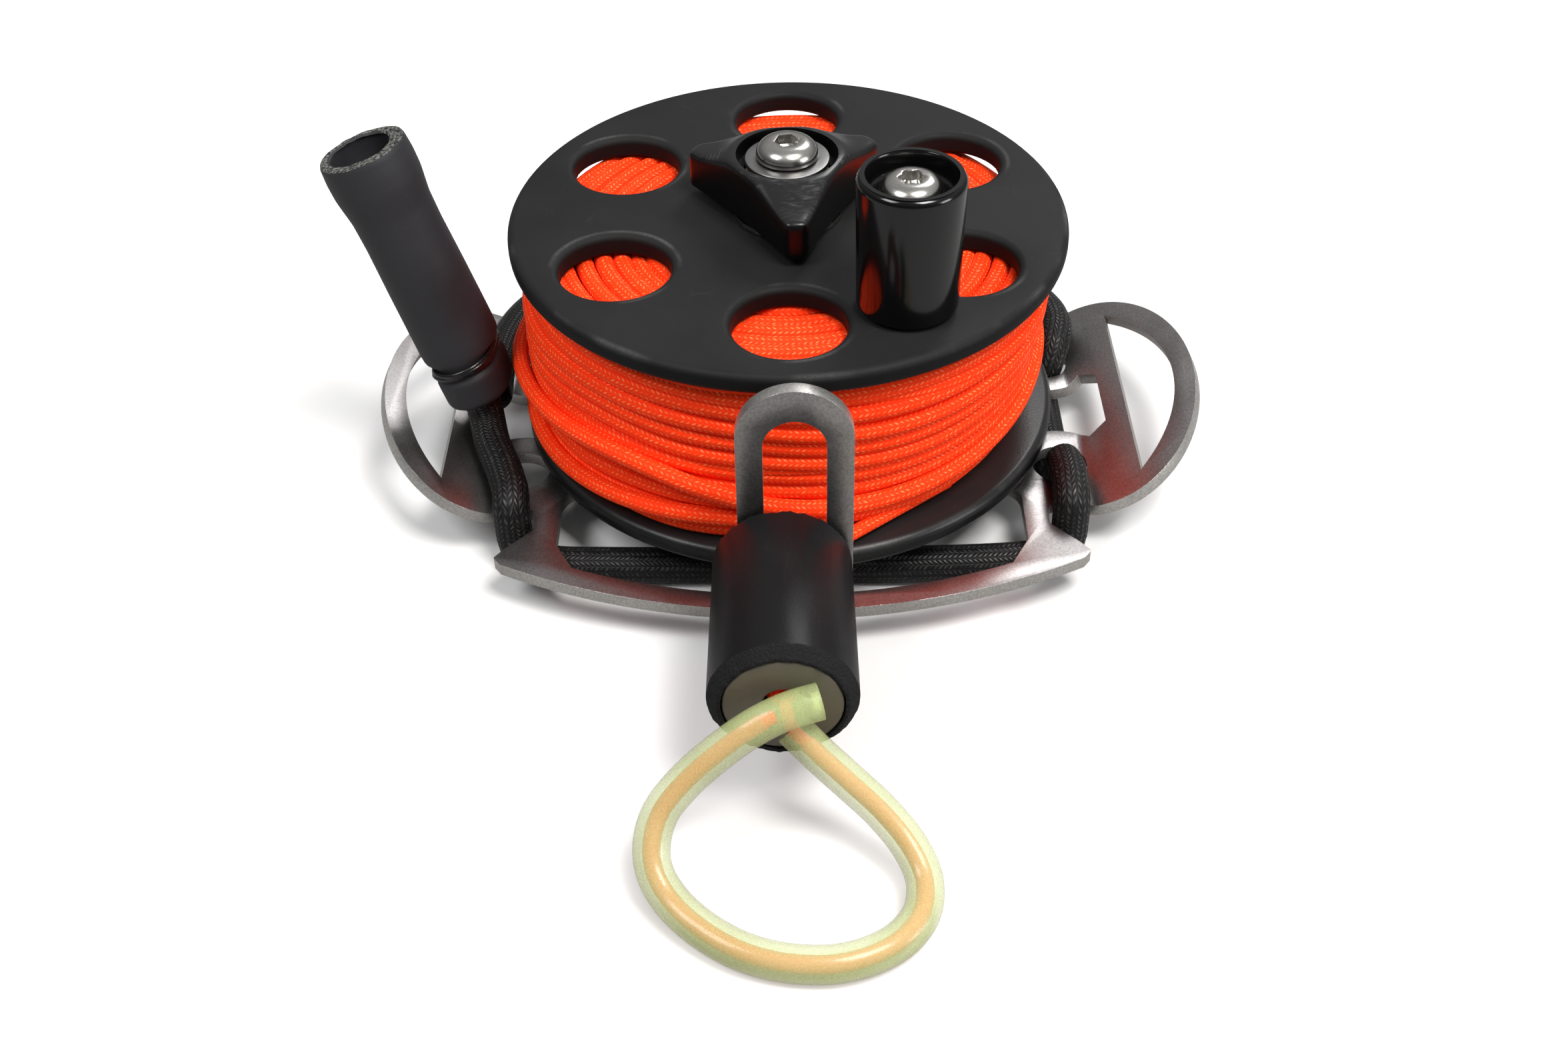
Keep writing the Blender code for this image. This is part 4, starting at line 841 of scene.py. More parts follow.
# Rows that show, top to bottom: heights in mm from the right, past the guide, to the left and round the rear
stations = (0, 27, 52, 68, 85, 110, 135, 220, 300, 337)
row_heights = [
    (49.0, 49.0, 49.0, 49.0, 48.9, 48.6, 47.6, 46.6, 46.8, 46.4),
    (46.6, 46.9, 46.8, 47.3, 47.5, 46.2, 45.4, 44.0, 43.4, 43.4),
    (42.7, 43.0, 44.1, 44.4, 44.4, 44.2, 42.8, 40.6, 40.0, 40.2),
    (38.8, 38.7, 40.8, 41.0, 42.2, 40.2, 39.8, 37.2, 36.4, 37.4),
    (35.6, 35.0, 37.5, 37.8, 39.9, 36.4, 37.4, 34.0, 33.2, 34.6),
    (32.5, 32.2, 33.8, 34.4, 36.3, 32.4, 34.4, 30.8, 30.0, 31.2),
    (29.2, 29.0, 30.4, 31.3, 31.6, 28.6, 31.0, 27.6, 27.0, 28.0),
    (26.0, 25.8, 27.2, 28.2, 27.4, 24.7, 26.6, 24.4, 23.6, 24.4),
    (22.8, 22.5, 23.8, 24.4, 22.9, 21.0, 22.2, 21.2, 20.4, 21.0),
    (19.5, 19.3, 20.7, 21.0, 19.5, 17.9, 18.6, 18.2, 17.9, 17.9)]
# The last turns run over the rows: down at the lower right, up across the left front, and back under the disc
last_turns = [
    (0, 17.7), (110, 17.7), (200, 18.4), (260, 23.0), (300, 27.6), (330, 28.6), (337, 27.4), (342, 24.4),
    (349, 20.8), (358, 19.0), (369, 18.6), (387, 19.5), (404, 20.8), (416, 22.0), (426, 21.5), (442, 19.8),
    (465, 18.0), (500, 18.6), (570, 23.8), (640, 29.2), (680, 28.4), (701, 25.2), (709, 24.3), (720, 23.0),
    (747, 22.4), (761, 22.9), (772, 25.9), (779, 28.8), (786, 30.9), (797, 31.6), (810, 30.7), (830, 27.6),
    (846, 26.3), (864, 27.0), (886, 30.4), (920, 36.6), (965, 41.8), (1010, 44.4), (1052, 44.0),
    (1072, 43.4), (1100, 44.6), (1124, 47.4)]
row_route = [(360 * n + at, z) for n, row in enumerate(row_heights) for at, z in zip(stations, row)]
row_route += [(360 * len(row_heights) + at, z) for at, z in last_turns]
turns_out, turns_z = np.array(row_route).T
s_rows = np.arange(0, turns_out[-1] / 360, 1 / a_turn)
z_rows = softened(np.interp(s_rows * 360, turns_out, turns_z * MM), 4) + wander(len(s_rows), *row_wander)
s_all = np.concatenate([s_bed, bed_turns + s_rows])
z_all = softened(np.clip(np.concatenate([z_bed, z_rows]), low_z, high_z), 6)
angles = first_angle - 2 * math.pi * s_all

# How far each strand may stand out of the pack: the last turns more, the rows by the guide and below less
row_number = s_all - bed_turns
turn_at = row_number % 1 * 360
late = np.clip((row_number - 10.7) / 0.08, 0, 1)
tight = np.exp(-((turn_at - 40) / 26) ** 2) * np.clip(1.6 - np.abs(row_number - 5.6) / 2.2, 0, 1)
over = np.interp(turn_at, (0, 40, 60, 140, 180, 290, 360), (0.3, 0.3, 1.7, 1.7, 0.8, 0.4, 0.3)) * MM
under_at = (0, 30, 60, 75, 130, 150, 290, 320, 360)
under = np.interp(turn_at, under_at, (1.2, 0.6, 0, 0.6, 0.6, 0, 0, 1.3, 1.2)) * MM
under *= np.clip((row_number - 3.8) / 0.6, 0, 1)
always_out, tight_in = 0.0001, 0.0012
proud = always_out + over * late - (tight_in * tight + under) * (1 - late) + wander(len(s_all), *proud_wander)
limit = pack_r(z_all, angles) - strand_h + proud

# Each strand lies on what is under it, kept as a map of the pack's surface by angle and height
cell = 0.0001
sunk = 0.16 * strand_h
overlap = 8
z_bins = int((upper_flange_z - line_floor_z) / cell) + 1
bin_z = line_floor_z + np.arange(z_bins) * cell
surface = np.array([pack_r(bin_z, angle) - 3.5 * strand_h for angle in angles[:a_turn]])
half_bins = int(strand_w / cell)
offsets = np.arange(-half_bins, half_bins + 1)
section = strand_h * np.sqrt(np.maximum(0.0, 1 - (offsets * cell / strand_w) ** 2))
bins = np.round((z_all - line_floor_z) / cell).astype(int)[:, None] + offsets
bins = np.clip(bins, 0, z_bins - 1)
radii = np.zeros(len(s_all))
for begin in range(0, len(s_all), a_turn):
    chosen = np.arange(begin, min(begin + a_turn, len(s_all)))
    raw = np.array([np.max(surface[i % a_turn, bins[i]] + section) - sunk for i in chosen])
    before = radii[begin - overlap:begin] if begin else raw[:overlap]
    padded = np.concatenate([before, raw, raw[-overlap:]])
    high = np.array([padded[max(0, k - 2):k + 3].max() for k in range(len(padded))])
    radii[chosen] = np.minimum(softened(high, 4)[len(before):len(before) + len(raw)], limit[chosen])
    for i in chosen:
        surface[i % a_turn, bins[i]] = np.maximum(surface[i % a_turn, bins[i]], radii[i] + section)
radii = softened(radii, 3)
# One slack row bulges at the left, and both ends are tucked into the bed
slack_row, slack_out, slack_reach = 12 + 128 / 360, 0.0012, 0.036
radii += slack_out * np.exp(-((row_number - slack_row) / slack_reach) ** 2)
tucked, first_tuck, last_tuck = 26, 0.0022, 0.0030
radii[:tucked] -= first_tuck * np.linspace(1, 0, tucked) ** 2
radii[-tucked:] -= last_tuck * np.linspace(0, 1, tucked) ** 2
outward = np.stack([np.cos(angles), np.sin(angles), np.zeros(len(angles))], axis=1)
turn_points = outward * radii[:, None] + np.outer(z_all, (0, 0, 1))
line_turns = laid_tube(turn_points, strand_w, strand_h, strand_sides, normals=outward)
finished(line_turns, "line_turns", "spool", line_look, "line", "line_winding")

# Turns seen through the windows of the upper flange
top_turns, top_a_turn, top_first_angle = 6.95, 110, 0.6
top_first_r, top_pitch, top_turns_z = 0.0232, 0.00318, 0.0488
top_edge_r, top_edge_w = 0.0405, 0.0050
s_top = np.arange(0, top_turns, 1 / top_a_turn)
r_top = top_first_r + top_pitch * s_top + wander(len(s_top), *top_r_wander)
angles_top = top_first_angle - 2 * math.pi * s_top
edge_share = np.clip((r_top - top_edge_r) / top_edge_w, 0, 1)
z_top = top_turns_z - rear_slump * rearward(angles_top) * edge_share + wander(len(s_top), *top_z_wander)
top_points = np.stack([r_top * np.cos(angles_top), r_top * np.sin(angles_top), z_top], axis=1)
window_turns = laid_tube(top_points, strand_w, strand_h, strand_sides,
                         normals=np.tile((0.0, 0.0, 1.0), (len(s_top), 1)))
finished(window_turns, "window_turns", "spool", line_look, "line")

# The bed is more of the line, painted dark red as painted shade where it shows between the turns
bed_bore_r, bed_gap, bed_top_z = 0.0133, 0.0005, 0.0464
bed_heights = np.linspace(line_floor_z + bed_gap, bed_top_z, 9)
bed_profile = [(float(pack_outer_r(z)) - 3.1 * strand_h, z) for z in bed_heights[::-1]]
bed_profile += [(bed_bore_r, bed_heights[0]), (bed_bore_r, bed_heights[-1])]
finished(turned(bed_profile, sides=64), "line_bed", "spool", painted_shade_bed_look, "line", "line_core")

# Frame plate: a flat pattern, then its two wings and its guide bent up
wing_fold_x = 0.0553
wing_bend_r = 0.003
wing_angle = math.radians(26.7)
wing_x, wing_y, wing_half_w, wing_half_l = 0.0610, -0.0010, 0.0202, 0.0310
belt_chord_x, belt_arc_x, belt_arc_r = 0.0667, 0.0417, 0.0354
plate_rear_x, plate_rear_y = 0.0460, 0.0270
hex_side_x, hex_rear_y, hex_front_y = 0.0623, 0.0062, -0.0086
front_lug_r, rear_lug_r = 0.0103, 0.0095
lace_x, lace_rear_y, lace_front_y, lace_hole_r = 0.0514, 0.0142, -0.0188, 0.0054
notch_in_x, notch_front_y, notch_rear_y, notch_round = 0.0474, -0.0357, -0.0325, 0.0015
notch_lip_x, notch_lip_y = 0.0515, -0.0296
claw_rounds = (0, 0.0004, 0, notch_round, notch_round, 0.0010, 0, 0.0008)
claw_tip, claw_back, claw_throat, claw_toe_x = (0.0540, -0.0434), (0.0522, -0.0409), (0.0492, -0.0378), 0.0526
bar_outer_r, bar_outer_y, bar_inner_r, bar_inner_y = 0.1150, 0.0570, 0.1060, 0.0520
window_half, window_rear_y, window_front_y, window_round = 0.0430, -0.0240, -0.0400, 0.0050
window_knee_x = 0.0396
axle_hole_r = 0.0042
guide_x, guide_w = 0.0006, 0.0192
guide_low_x, guide_high_x = guide_x - guide_w / 2, guide_x + guide_w / 2
guide_bend_y, guide_bend_r = -0.0576, 0.0006
guide_top_z, guide_slot_w, guide_slot_top_z, guide_slot_low_z = 0.0589, 0.0104, 0.0530, 0.0136
guide_arc = (guide_bend_r + plate_t / 2) * math.pi / 2
wing_arc = (wing_bend_r + plate_t / 2) * wing_angle
wing_steps, guide_steps = 8, 10
plate_edge = 0.00032


def bar_outer(x):
    return bar_outer_y - math.sqrt(bar_outer_r ** 2 - x ** 2)


def bar_inner(x):
    return bar_inner_y - math.sqrt(bar_inner_r ** 2 - x ** 2)


def front_bar(from_x):
    return [(x, bar_outer(x)) for x in np.linspace(from_x, claw_toe_x, 21)]


def mirrored(points):
    return [(-x, y) for x, y in reversed(points)]


def guide_run(height):
    """Length in the flat pattern from the bend's start to a height on the guide."""
    return height - plate_top_z - guide_bend_r + guide_arc


def plate_outline():
    claw = eased([(claw_toe_x, bar_outer(claw_toe_x)), claw_tip, claw_back, claw_throat,
                  (notch_in_x, notch_front_y), (notch_in_x, notch_rear_y),
                  (notch_in_x + notch_round / 2, notch_lip_y - notch_round / 2), (notch_lip_x, notch_lip_y)],
                 claw_rounds, closed=False, steps=5)
    front_angle = -math.acos((wing_fold_x - wing_x) / wing_half_w)
    rear_angle = math.acos((plate_rear_x - wing_x) / wing_half_w)
    side = claw[1:] + [(wing_x + wing_half_w * math.cos(a), wing_y + wing_half_l * math.sin(a))
                       for a in np.linspace(front_angle, rear_angle, 73)]
    end_x, end_y = side[-1]
    rear_arch = [(end_x * share, plate_rear_y - (plate_rear_y - end_y) * share ** 2)
                 for share in np.linspace(1, 0, 17)[1:-1]]
    cap = arc_points(guide_x, guide_bend_y - guide_run(guide_top_z) + guide_w / 2, guide_w / 2, 180, 360, 40)
    return (cap + front_bar(guide_high_x) + side + rear_arch + [(0, plate_rear_y)] + mirrored(rear_arch)
            + mirrored(side) + mirrored(front_bar(-guide_low_x)))


def plate_holes():
    belt_half = math.degrees(math.acos((belt_chord_x - belt_arc_x) / belt_arc_r))
    belt_slot = arc_points(belt_arc_x, wing_y, belt_arc_r, -belt_half, belt_half, 48)
    hex_opening = [(hex_side_x, hex_rear_y), (hex_side_x, hex_front_y)]
    hex_opening += arc_points(lace_x, lace_front_y, front_lug_r, 46, 122, 16)
    hex_opening += arc_points(lace_x, lace_rear_y, rear_lug_r, 235, 321, 16)
    knee = bar_inner(window_knee_x)
    window = eased([(-window_half, window_front_y), (-window_half, window_rear_y),
                    (window_half, window_rear_y), (window_half, window_front_y), (window_knee_x, knee)],
                   [0, window_round, window_round, 0, 0], closed=False, steps=8)
    window += [(x, bar_inner(x)) for x in np.linspace(window_knee_x, -window_knee_x, 31)[1:-1]]
    window += [(-window_knee_x, knee)]
    slot_r = guide_slot_w / 2
    slot_far_y = guide_bend_y - guide_run(guide_slot_top_z) + slot_r
    slot_near_y = guide_bend_y - guide_run(guide_slot_low_z) - slot_r
    guide_slot = arc_points(guide_x, slot_far_y, slot_r, 180, 360, 32)
    guide_slot += arc_points(guide_x, slot_near_y, slot_r, 0, 180, 24)
    holes = [window, guide_slot, arc_points(0, 0, axle_hole_r, 0, 350, 35)]
    for shape in (belt_slot, hex_opening, arc_points(lace_x, lace_front_y, lace_hole_r, 0, 352, 44),
                  arc_points(lace_x, lace_rear_y, lace_hole_r, 0, 352, 44)):
        holes += [shape, mirrored(shape)]
    return holes


def bend_point(run, height, radius, angle):
    """Where a point of the flat pattern goes, past a bend up: out and up."""
    length = (radius + plate_t / 2) * angle
    turn_r = radius + plate_t - height
    theta = min(run / length, 1.0) * angle
    past = max(0.0, run - length)
    return (math.sin(theta) * turn_r + past * math.cos(angle),
            radius + plate_t - math.cos(theta) * turn_r + past * math.sin(angle))


plate = flat_sheet([plate_outline()] + plate_holes(), plate_t)
edit(plate)
bpy.ops.mesh.dissolve_limited(angle_limit=math.radians(0.3))
folds = [((sign * (wing_fold_x + wing_arc * k / wing_steps), 0, 0), (1, 0, 0))
         for k in range(wing_steps + 1) for sign in (1, -1)]
folds += [((0, guide_bend_y - guide_arc * k / guide_steps, 0), (0, 1, 0)) for k in range(guide_steps + 1)]
for place, normal in folds:
    bpy.ops.mesh.select_all(action="SELECT")
    bpy.ops.mesh.bisect(plane_co=place, plane_no=normal)
bm = bmesh.from_edit_mesh(plate.data)
for vert in bm.verts:
    x, y, z = vert.co
    if abs(x) > wing_fold_x:
        out, rise = bend_point(abs(x) - wing_fold_x, z, wing_bend_r, wing_angle)
        vert.co = (math.copysign(wing_fold_x + out, x), y, rise)
    elif y < guide_bend_y and guide_low_x - weld < x < guide_high_x + weld:
        out, rise = bend_point(guide_bend_y - y, z, guide_bend_r, math.pi / 2)
        vert.co = (x, guide_bend_y - out, rise)
bmesh.update_edit_mesh(plate.data)
leave()
plate.location.z = plate_under_z
place_applied(plate)
for mat in (plate_look, edge_look, wall_look):
    plate.data.materials.append(mat)
edges_broken(plate, plate_edge, 3, material=1)
# Cut walls have their own look: all round the pattern, and on the guide all but its two faces
for face in plate.data.polygons:
    on_guide = face.center.y < guide_bend_y + weld and face.center.z > plate_top_z
    x, y, z = (abs(value) for value in face.normal)
    on_bend = face.center.y <= guide_bend_y and face.center.z >= plate_top_z
    is_wall = (y if on_guide else z) < 0.5 and (on_guide or x > 0.7 or not on_bend)
    if is_wall and face.material_index == 0:
        face.material_index = 2
finished(plate, "belt_plate", "frame", None, "plate_steel", "frame_plate", angle=30)

# Spool discs
spool_bore_r = 0.0078
flange_round, bore_round = 0.0016, 0.0003
window_flare = 0.0014
low_flare, low_flare_past = 0.0006, 0.0002
handle_hole_r = 0.0043
overrun = 0.002
flange_profile = eased([(flange_r, flange_t), (flange_r, 0), (spool_bore_r, 0), (spool_bore_r, flange_t)],
                       [flange_round, flange_round, bore_round, bore_round], steps=7)
lower_disc = turned(flange_profile, (0, 0, lower_flange_z), sides=160)
finished(lower_disc, "lower_disc", "spool", lower_look, "flange_plastic", "lower_flange")
upper_disc = turned(flange_profile, (0, 0, upper_flange_z), sides=160)
flare = [(0, flange_t + overrun), (window_hole_r + window_flare, flange_t + overrun)]
flare += [(window_hole_r + window_flare * (1 - math.sin(a)), flange_t - window_flare * (1 - math.cos(a)))
          for a in np.linspace(0, math.pi / 2, 9)]
flare += [(window_hole_r, low_flare), (window_hole_r + low_flare, -low_flare_past),
          (window_hole_r + low_flare, -overrun), (0, -overrun)]
for k in range(6):
    x, y = polar(window_ring_r, math.radians(30 + 60 * k))
    cut_by(upper_disc, turned(flare, (x, y, upper_flange_z), sides=56, closed=False))
handle_hole = [(0, flange_t + overrun), (handle_hole_r, flange_t + overrun), (handle_hole_r, -overrun),
               (0, -overrun)]
cut_by(upper_disc, turned(handle_hole, (*handle_at[:2], upper_flange_z), sides=32, closed=False))
finished(upper_disc, "upper_disc", "spool", flange_look, "flange_plastic", "upper_flange", angle=30)

# Winding handle
grip_top_r, grip_low_r, grip_bore_r, grip_well_r = 0.0091, 0.0087, 0.0038, 0.0077
grip_h, grip_floor_h = 0.0248, 0.0205
grip_rounds = (0.0014, 0.0012, 0, 0.0003, 0.0012, 0.0008)
grip_profile = eased([(grip_top_r, grip_h), (grip_low_r, 0), (grip_bore_r, 0), (grip_bore_r, grip_floor_h),
                      (grip_well_r, grip_floor_h), (grip_well_r, grip_h)], grip_rounds, steps=8)
grip = turned(grip_profile, handle_at, sides=96)
finished(grip, "winding_grip", "grip", gloss_look, "gloss_plastic", "handle_grip", angle=30)

# Screws
socket_h, socket_reach = 0.0018, 0.0040
head_edge = 0.00012
axle_screw_z, handle_screw_z = 0.0660, 0.0761
hex_r, lobe_r = 0.00231, 0.0021
hex_socket = [polar(hex_r, math.radians(60 * k + 12)) for k in range(6)]
lobed_socket = [polar(lobe_r * (1 + math.cos(6 * a) / 8), a) for a in 2 * math.pi * np.arange(96) / 96]


def button_screw(head_d, head_h, shank_d, shank_l, at, socket, edge):
    """A button head with its socket sunk in and its edges broken."""
    head_r, rim_h, flat_r = head_d / 2, head_h / 6, head_d / 4
    dome = [(0, head_h)] + [(flat_r + (head_r - flat_r) * math.sin(a), rim_h + (head_h - rim_h) * math.cos(a))
                            for a in np.linspace(0, math.pi / 2, 13)]
    dome += [(head_r, head_edge), (head_r - head_edge, 0), (shank_d / 2, 0), (shank_d / 2, -shank_l),
             (0, -shank_l)]
    screw = turned(dome, at, sides=64, closed=False)
    cut_by(screw, flat_sheet([socket], socket_reach, (at[0], at[1], at[2] + head_h - socket_h)))
    return edges_broken(screw, edge, 2)


axle_screw = button_screw(head_d=0.0112, head_h=0.0030, shank_d=0.0058, shank_l=0.0115,
                          at=(0, 0, axle_screw_z), socket=hex_socket, edge=0.00012)
finished(axle_screw, "axle_button_screw", "frame", bright_look, "stainless", "axle_screw", angle=30)
handle_screw = button_screw(head_d=0.0106, head_h=0.0031, shank_d=0.0050, shank_l=0.0250,
                            at=(*handle_at[:2], handle_screw_z), socket=lobed_socket, edge=0.0001)
finished(handle_screw, "handle_button_screw", "spool", bright_look, "stainless", "handle_screw", angle=30)

# Drag knob: three tips joined by hollow sides, crowned, smoothed, and sunk on top for its washer
tip_r, tip_half, side_r, rim_r = 0.0192, 0.0018, 0.0104, 0.0102
knob_h, tip_h = 0.0105, 0.0075
well_r, well_low_r, well_rim_h, well_h, knob_bore_r = 0.00930, 0.00915, 0.0003, 0.0031, 0.0078
knob_grain = 0.00028
knob_first_tip = math.radians(-85.5)
tip_turn = 2 * math.pi / 3
knob_outline = []
for k in range(3):
    turn = knob_first_tip + tip_turn * k
    out, across = Vector(polar(1, turn)), Vector(polar(1, turn + math.pi / 2))
    next_out, next_across = Vector(polar(1, turn + tip_turn)), Vector(polar(1, turn + tip_turn + math.pi / 2))
    near = out * tip_r + across * tip_half
    far = next_out * tip_r - next_across * tip_half
    control = Vector(polar(side_r, turn + tip_turn / 2)) * 2 - (near + far) / 2
    knob_outline.append(tuple(out * tip_r - across * tip_half))
    for t in (q / 16 for q in range(16)):
        knob_outline.append(tuple(near * (1 - t) ** 2 + control * 2 * t * (1 - t) + far * t ** 2))
crown = [(0, knob_h), (rim_r, knob_h)]
crown += [(rim_r + (tip_r - rim_r) * t, tip_h + (knob_h - tip_h) * (1 - t) ** 2)
          for t in np.linspace(0, 1, 13)[1:]]
crown += [(tip_r + overrun, tip_h), (tip_r + overrun, -overrun), (0, -overrun)]
well = [(0, knob_h + overrun), (well_r, knob_h + overrun), (well_low_r, knob_h - well_rim_h),
        (well_low_r, knob_h - well_h), (0, knob_h - well_h)]
knob_bore = [(0, knob_h), (knob_bore_r, knob_h), (knob_bore_r, -overrun), (0, -overrun)]
knob = flat_sheet([knob_outline], knob_h + overrun, (0, 0, knob_z))
cut_by(knob, turned(crown, (0, 0, knob_z), sides=96, closed=False), "INTERSECT")
with_modifier(knob, "REMESH", mode="VOXEL", voxel_size=knob_grain)
with_modifier(knob, "SMOOTH", factor=0.5, iterations=90)
cut_by(knob, turned(well, (0, 0, knob_z), sides=96, closed=False))
cut_by(knob, turned(knob_bore, (0, 0, knob_z), sides=64, closed=False))
finished(knob, "drag_knob_polished", "drag_nut", knob_look, "gloss_plastic", "drag_knob", angle=45)

# Washer in the knob's well
washer_r, washer_bore_r, washer_t, washer_z, washer_round = 0.0076, 0.0032, 0.0010, 0.0647, 0.0002
washer = turned(eased([(washer_r, washer_t), (washer_r, 0), (washer_bore_r, 0), (washer_bore_r, washer_t)],
                      [washer_round] * 4, steps=3), (0, 0, washer_z), sides=72)
finished(washer, "axle_top_washer", "frame", washer_look, "stainless", "axle_washer", angle=30)

# Pull sleeve and its tie
sleeve_at = Vector((-0.0587, -0.0079, 0.0218))
sleeve_lean = Vector((-0.30, 0.06, 0.952)).normalized()
sleeve_turn = Vector((0, 0, 1)).rotation_difference(sleeve_lean)
sleeve_l = 0.0517
sleeve_sides = 64
# Height, half width and half depth outside, and half width and half depth of the bore, in mm
sections = np.array([
    (0.0, 5.65, 8.15, 3.8, 7.3), (0.65, 6.3, 8.8, 3.8, 7.3), (3.5, 6.35, 8.75, 3.8, 7.3),
    (5.95, 6.3, 8.8, 3.8, 7.3), (6.6, 5.4, 8.0, 3.8, 7.3), (9.2, 5.4, 8.0, 3.8, 7.3),
    (9.85, 7.35, 8.15, 3.8, 7.3), (11.6, 7.5, 8.15, 3.8, 7.3), (16.8, 7.7, 7.7, 6.0, 6.0),
    (25.0, 7.6, 7.6, 6.0, 6.0), (34.5, 7.4, 7.4, 6.0, 6.0), (40.0, 7.5, 7.5, 6.0, 6.0),
    (45.2, 8.2, 8.2, 6.6, 6.6), (48.5, 8.25, 8.25, 6.5, 6.5), (51.7, 8.0, 8.0, 6.3, 6.3)]) * MM
bore_most_r, bore_aside, bore_aside_from = 0.0056, 0.0007, 0.030
bore_ease, bore_ease_from, foot_half_w, foot_half_d = 0.0004, 0.012, 0.0041, 0.0076
rim_out_r, rim_top_r, rim_in_r, rim_h, rim_drop = 0.00795, 0.00735, 0.00600, 0.001, 0.0004
rim_top_aside, rim_in_aside = 0.0001, 0.0006
rim_rough = 0.00008


def sleeve_shell(rows):
    """A closed shell through round-ended rows: height, half width, half depth, roughness and place aside."""
    bm = bmesh.new()
    made = []
    for height, half_w, half_d, rough, aside in rows:
        row = []
        for k in range(sleeve_sides):
            a = 2 * math.pi * k / sleeve_sides
            flat = 0.0
            if k % (sleeve_sides // 2):
                flat = math.copysign(max(0.0, half_d - half_w), math.sin(a))
            lift = rough * (math.sin(a * 9 + 2 * math.sin(3 * a)) + 0.6 * math.sin(a * 23 + 1.0))
            x, y = polar(half_w, a, aside, flat - aside)
            row.append(bm.verts.new((x, y, height + lift)))
        made.append(row)
    for row, following in zip(made, made[1:] + made[:1]):
        for k in range(sleeve_sides):
            j = (k + 1) % sleeve_sides
            bm.faces.new((row[k], row[j], following[j], following[k]))
    return shell_object(bm, "sleeve")


def across_sleeve(height, column):
    return np.interp(height, sections[:, 0], sections[:, column])


heights = np.concatenate([np.linspace(0, 12, 25), np.linspace(12.5, 51.3, 54)]) * MM
sleeve_rows = [(h, across_sleeve(h, 1), across_sleeve(h, 2), 0.0, 0.0) for h in heights]
sleeve_rows += [(sleeve_l, rim_out_r, rim_out_r, rim_rough, 0.0),
                (sleeve_l + rim_rough, rim_top_r, rim_top_r, rim_rough, -rim_top_aside),
                (sleeve_l, rim_in_r, rim_in_r, rim_rough, -rim_in_aside),
                (sleeve_l - rim_drop, bore_most_r, bore_most_r, rim_rough, -bore_aside)]
for h in heights[:1:-1]:
    narrowed = bore_ease if h > bore_ease_from else 0.0
    aside = -bore_aside * max(0.0, (h - bore_aside_from) / (sleeve_l - bore_aside_from))
    sleeve_rows.append((h, min(bore_most_r, across_sleeve(h, 3)), across_sleeve(h, 4) - narrowed, 0.0, aside))
sleeve_rows.append((0.0, foot_half_w, foot_half_d, 0.0, 0.0))
sleeve = sleeve_shell(sleeve_rows)
sleeve.rotation_mode = "QUATERNION"
sleeve.rotation_quaternion = sleeve_turn
sleeve.location = sleeve_at
with_modifier(sleeve, "SMOOTH", factor=0.4, iterations=3)
finished(sleeve, "pull_sleeve_tube", "frame", sleeve_look, "sleeve_rubber", "pull_sleeve", angle=45)
sleeve.data.materials.append(sleeve_cut_look)
for face in sleeve.data.polygons:
    along_sleeve = (Vector(face.center) - sleeve_at).dot(sleeve_lean)
    if face.normal.dot(sleeve_lean) > 0.8 and along_sleeve > sleeve_l - rim_h:
        face.material_index = 1

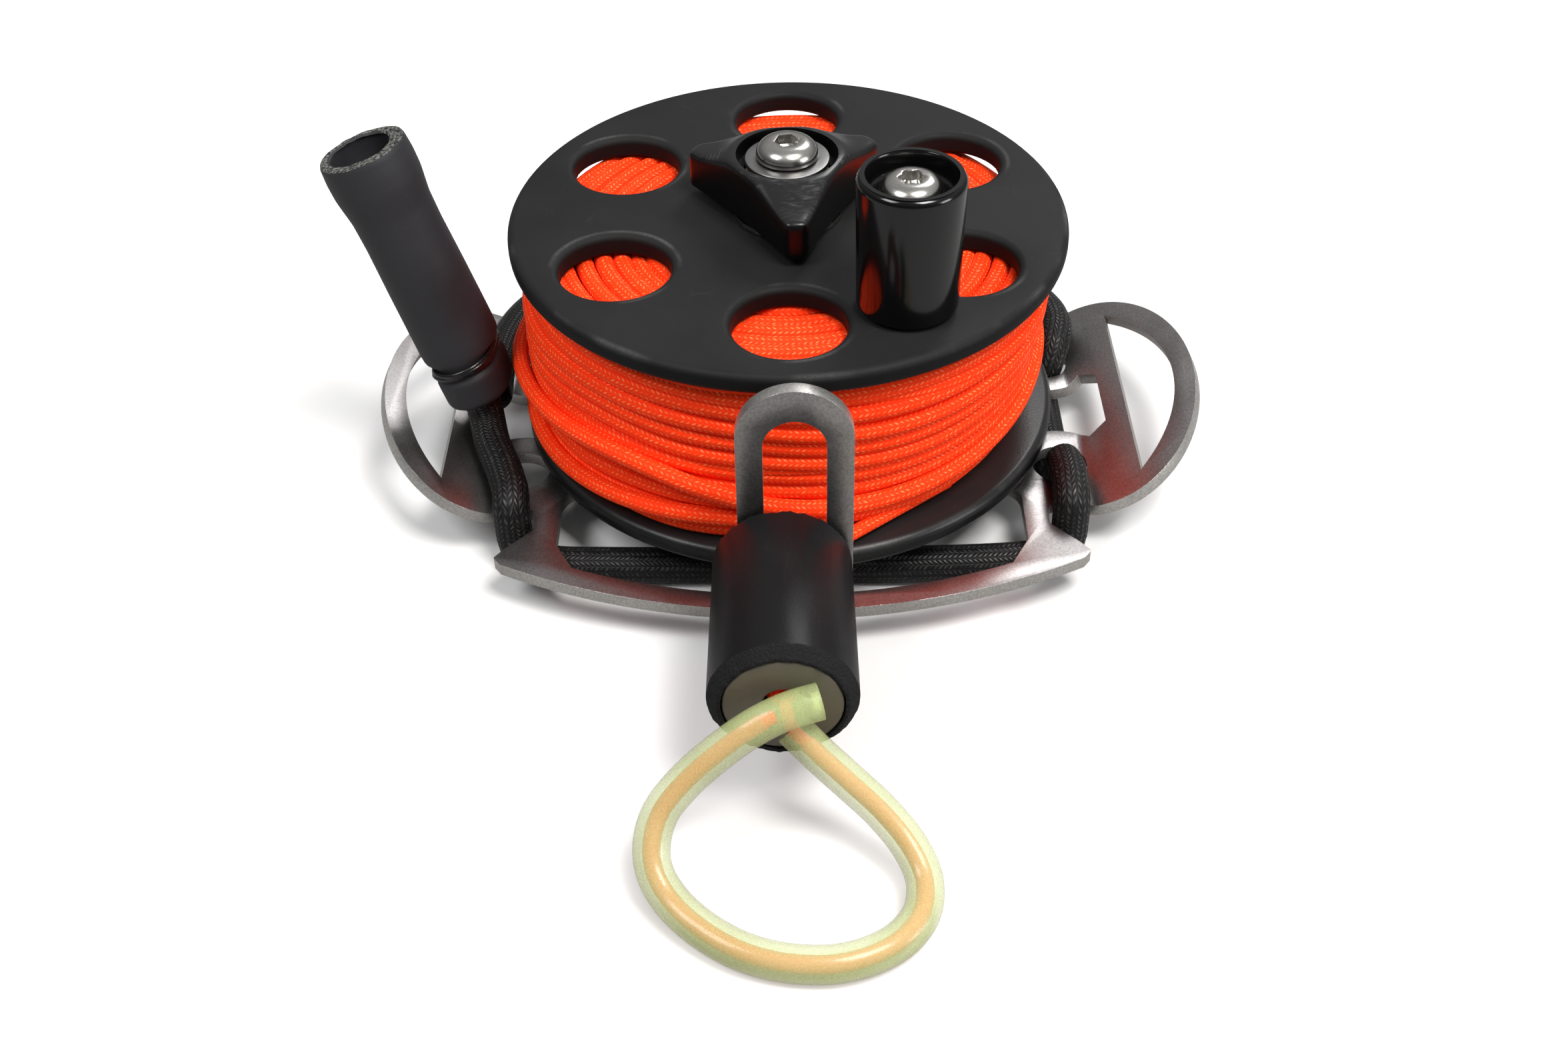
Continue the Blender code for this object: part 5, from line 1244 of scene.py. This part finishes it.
tie_turns, tie_steps = 3, 48
tie_r, tie_flat, tie_thread_r = 0.0059, 0.0026, 0.00048
tie_low_h, tie_rise, tie_wave = 0.00730, 0.0013, 0.0002
tie_points = []
for k in range(tie_turns * tie_steps + 1):
    a = 2 * math.pi * k / tie_steps
    x, y = polar(tie_r + tie_wave * math.sin(a * 2.3), a)
    if abs(math.sin(a)) > 0.001:
        y += math.copysign(tie_flat, math.sin(a)) * min(1.0, abs(math.sin(a)) * 3)
    height = tie_low_h + tie_rise * k / (tie_turns * tie_steps)
    tie_points.append(tuple(sleeve_at + sleeve_turn @ Vector((x, y, height))))
tie = laid_tube(tie_points, tie_thread_r, tie_thread_r, sides=10)
finished(tie, "sleeve_band", "frame", tie_look, "tie", "sleeve_tie")

# CAD nodes that keep their shape
for mat, nodes in (
        (bright_look, ("base_screw", "base_washer", "axle_post", "handle_sleeve", "pressure_washer")),
        (slip_look, ("friction_washer", "lower_bush", "upper_bush")),
        (flange_look, ("spool_hub",)),
        (brass_look, ("handle_insert", "knob_insert"))):
    for node in nodes:
        for material_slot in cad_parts[node].material_slots:
            material_slot.material = mat

# Floor and light
bpy.ops.object.select_all(action="DESELECT")
bpy.ops.mesh.primitive_plane_add(size=6.0, location=(0, 0, 0))
floor = bpy.context.object
floor.name = "studio_floor"
floor.data.materials.append(floor_look)

world = bpy.data.worlds.new("studio")
bpy.context.scene.world = world
world.use_nodes = True
sky = world.node_tree
backdrop = sky.nodes["Background"]
toward = new_node(sky, "SeparateXYZ", {0: new_node(sky, "TexCoord")["Generated"]})
overhead = new_node(sky, "MapRange", {0: toward["Z"], 1: 0.0, 2: 0.80, 3: 0.13, 4: 0.40},
                    interpolation_type="SMOOTHSTEP")["Result"]
strength = overhead * (toward["X"] * 0.35 + toward["Y"] * 0.40 + 1.0)
sky.links.new(strength.socket, backdrop.inputs["Strength"])
backdrop.inputs["Color"].default_value = (1.0, 1.0, 1.0, 1)
reel_middle = Vector((0, 0, 0.03))


def soft_box(name, at, side, power, colour=(1, 1, 1)):
    """A square or oblong lamp aimed at the middle of the reel."""
    data = bpy.data.lights.new(name, "AREA")
    data.shape = "RECTANGLE"
    data.size, data.size_y = side
    data.energy = power
    data.color = colour
    obj = linked(name, data)
    obj.location = at
    obj.rotation_euler = (reel_middle - Vector(at)).to_track_quat("-Z", "Y").to_euler()


soft_box("key", (0.30, -0.34, 0.92), (0.34, 0.34), 9.5, (1.0, 0.98, 0.95))
soft_box("second", (-0.50, -0.30, 0.80), (0.34, 0.34), 4.4)
soft_box("side", (0.58, -0.26, 0.26), (0.22, 0.22), 1.5)
soft_box("rear", (0.28, 0.60, 0.66), (0.26, 0.24), 2.3)
bpy.context.scene.view_settings.view_transform = "Standard"
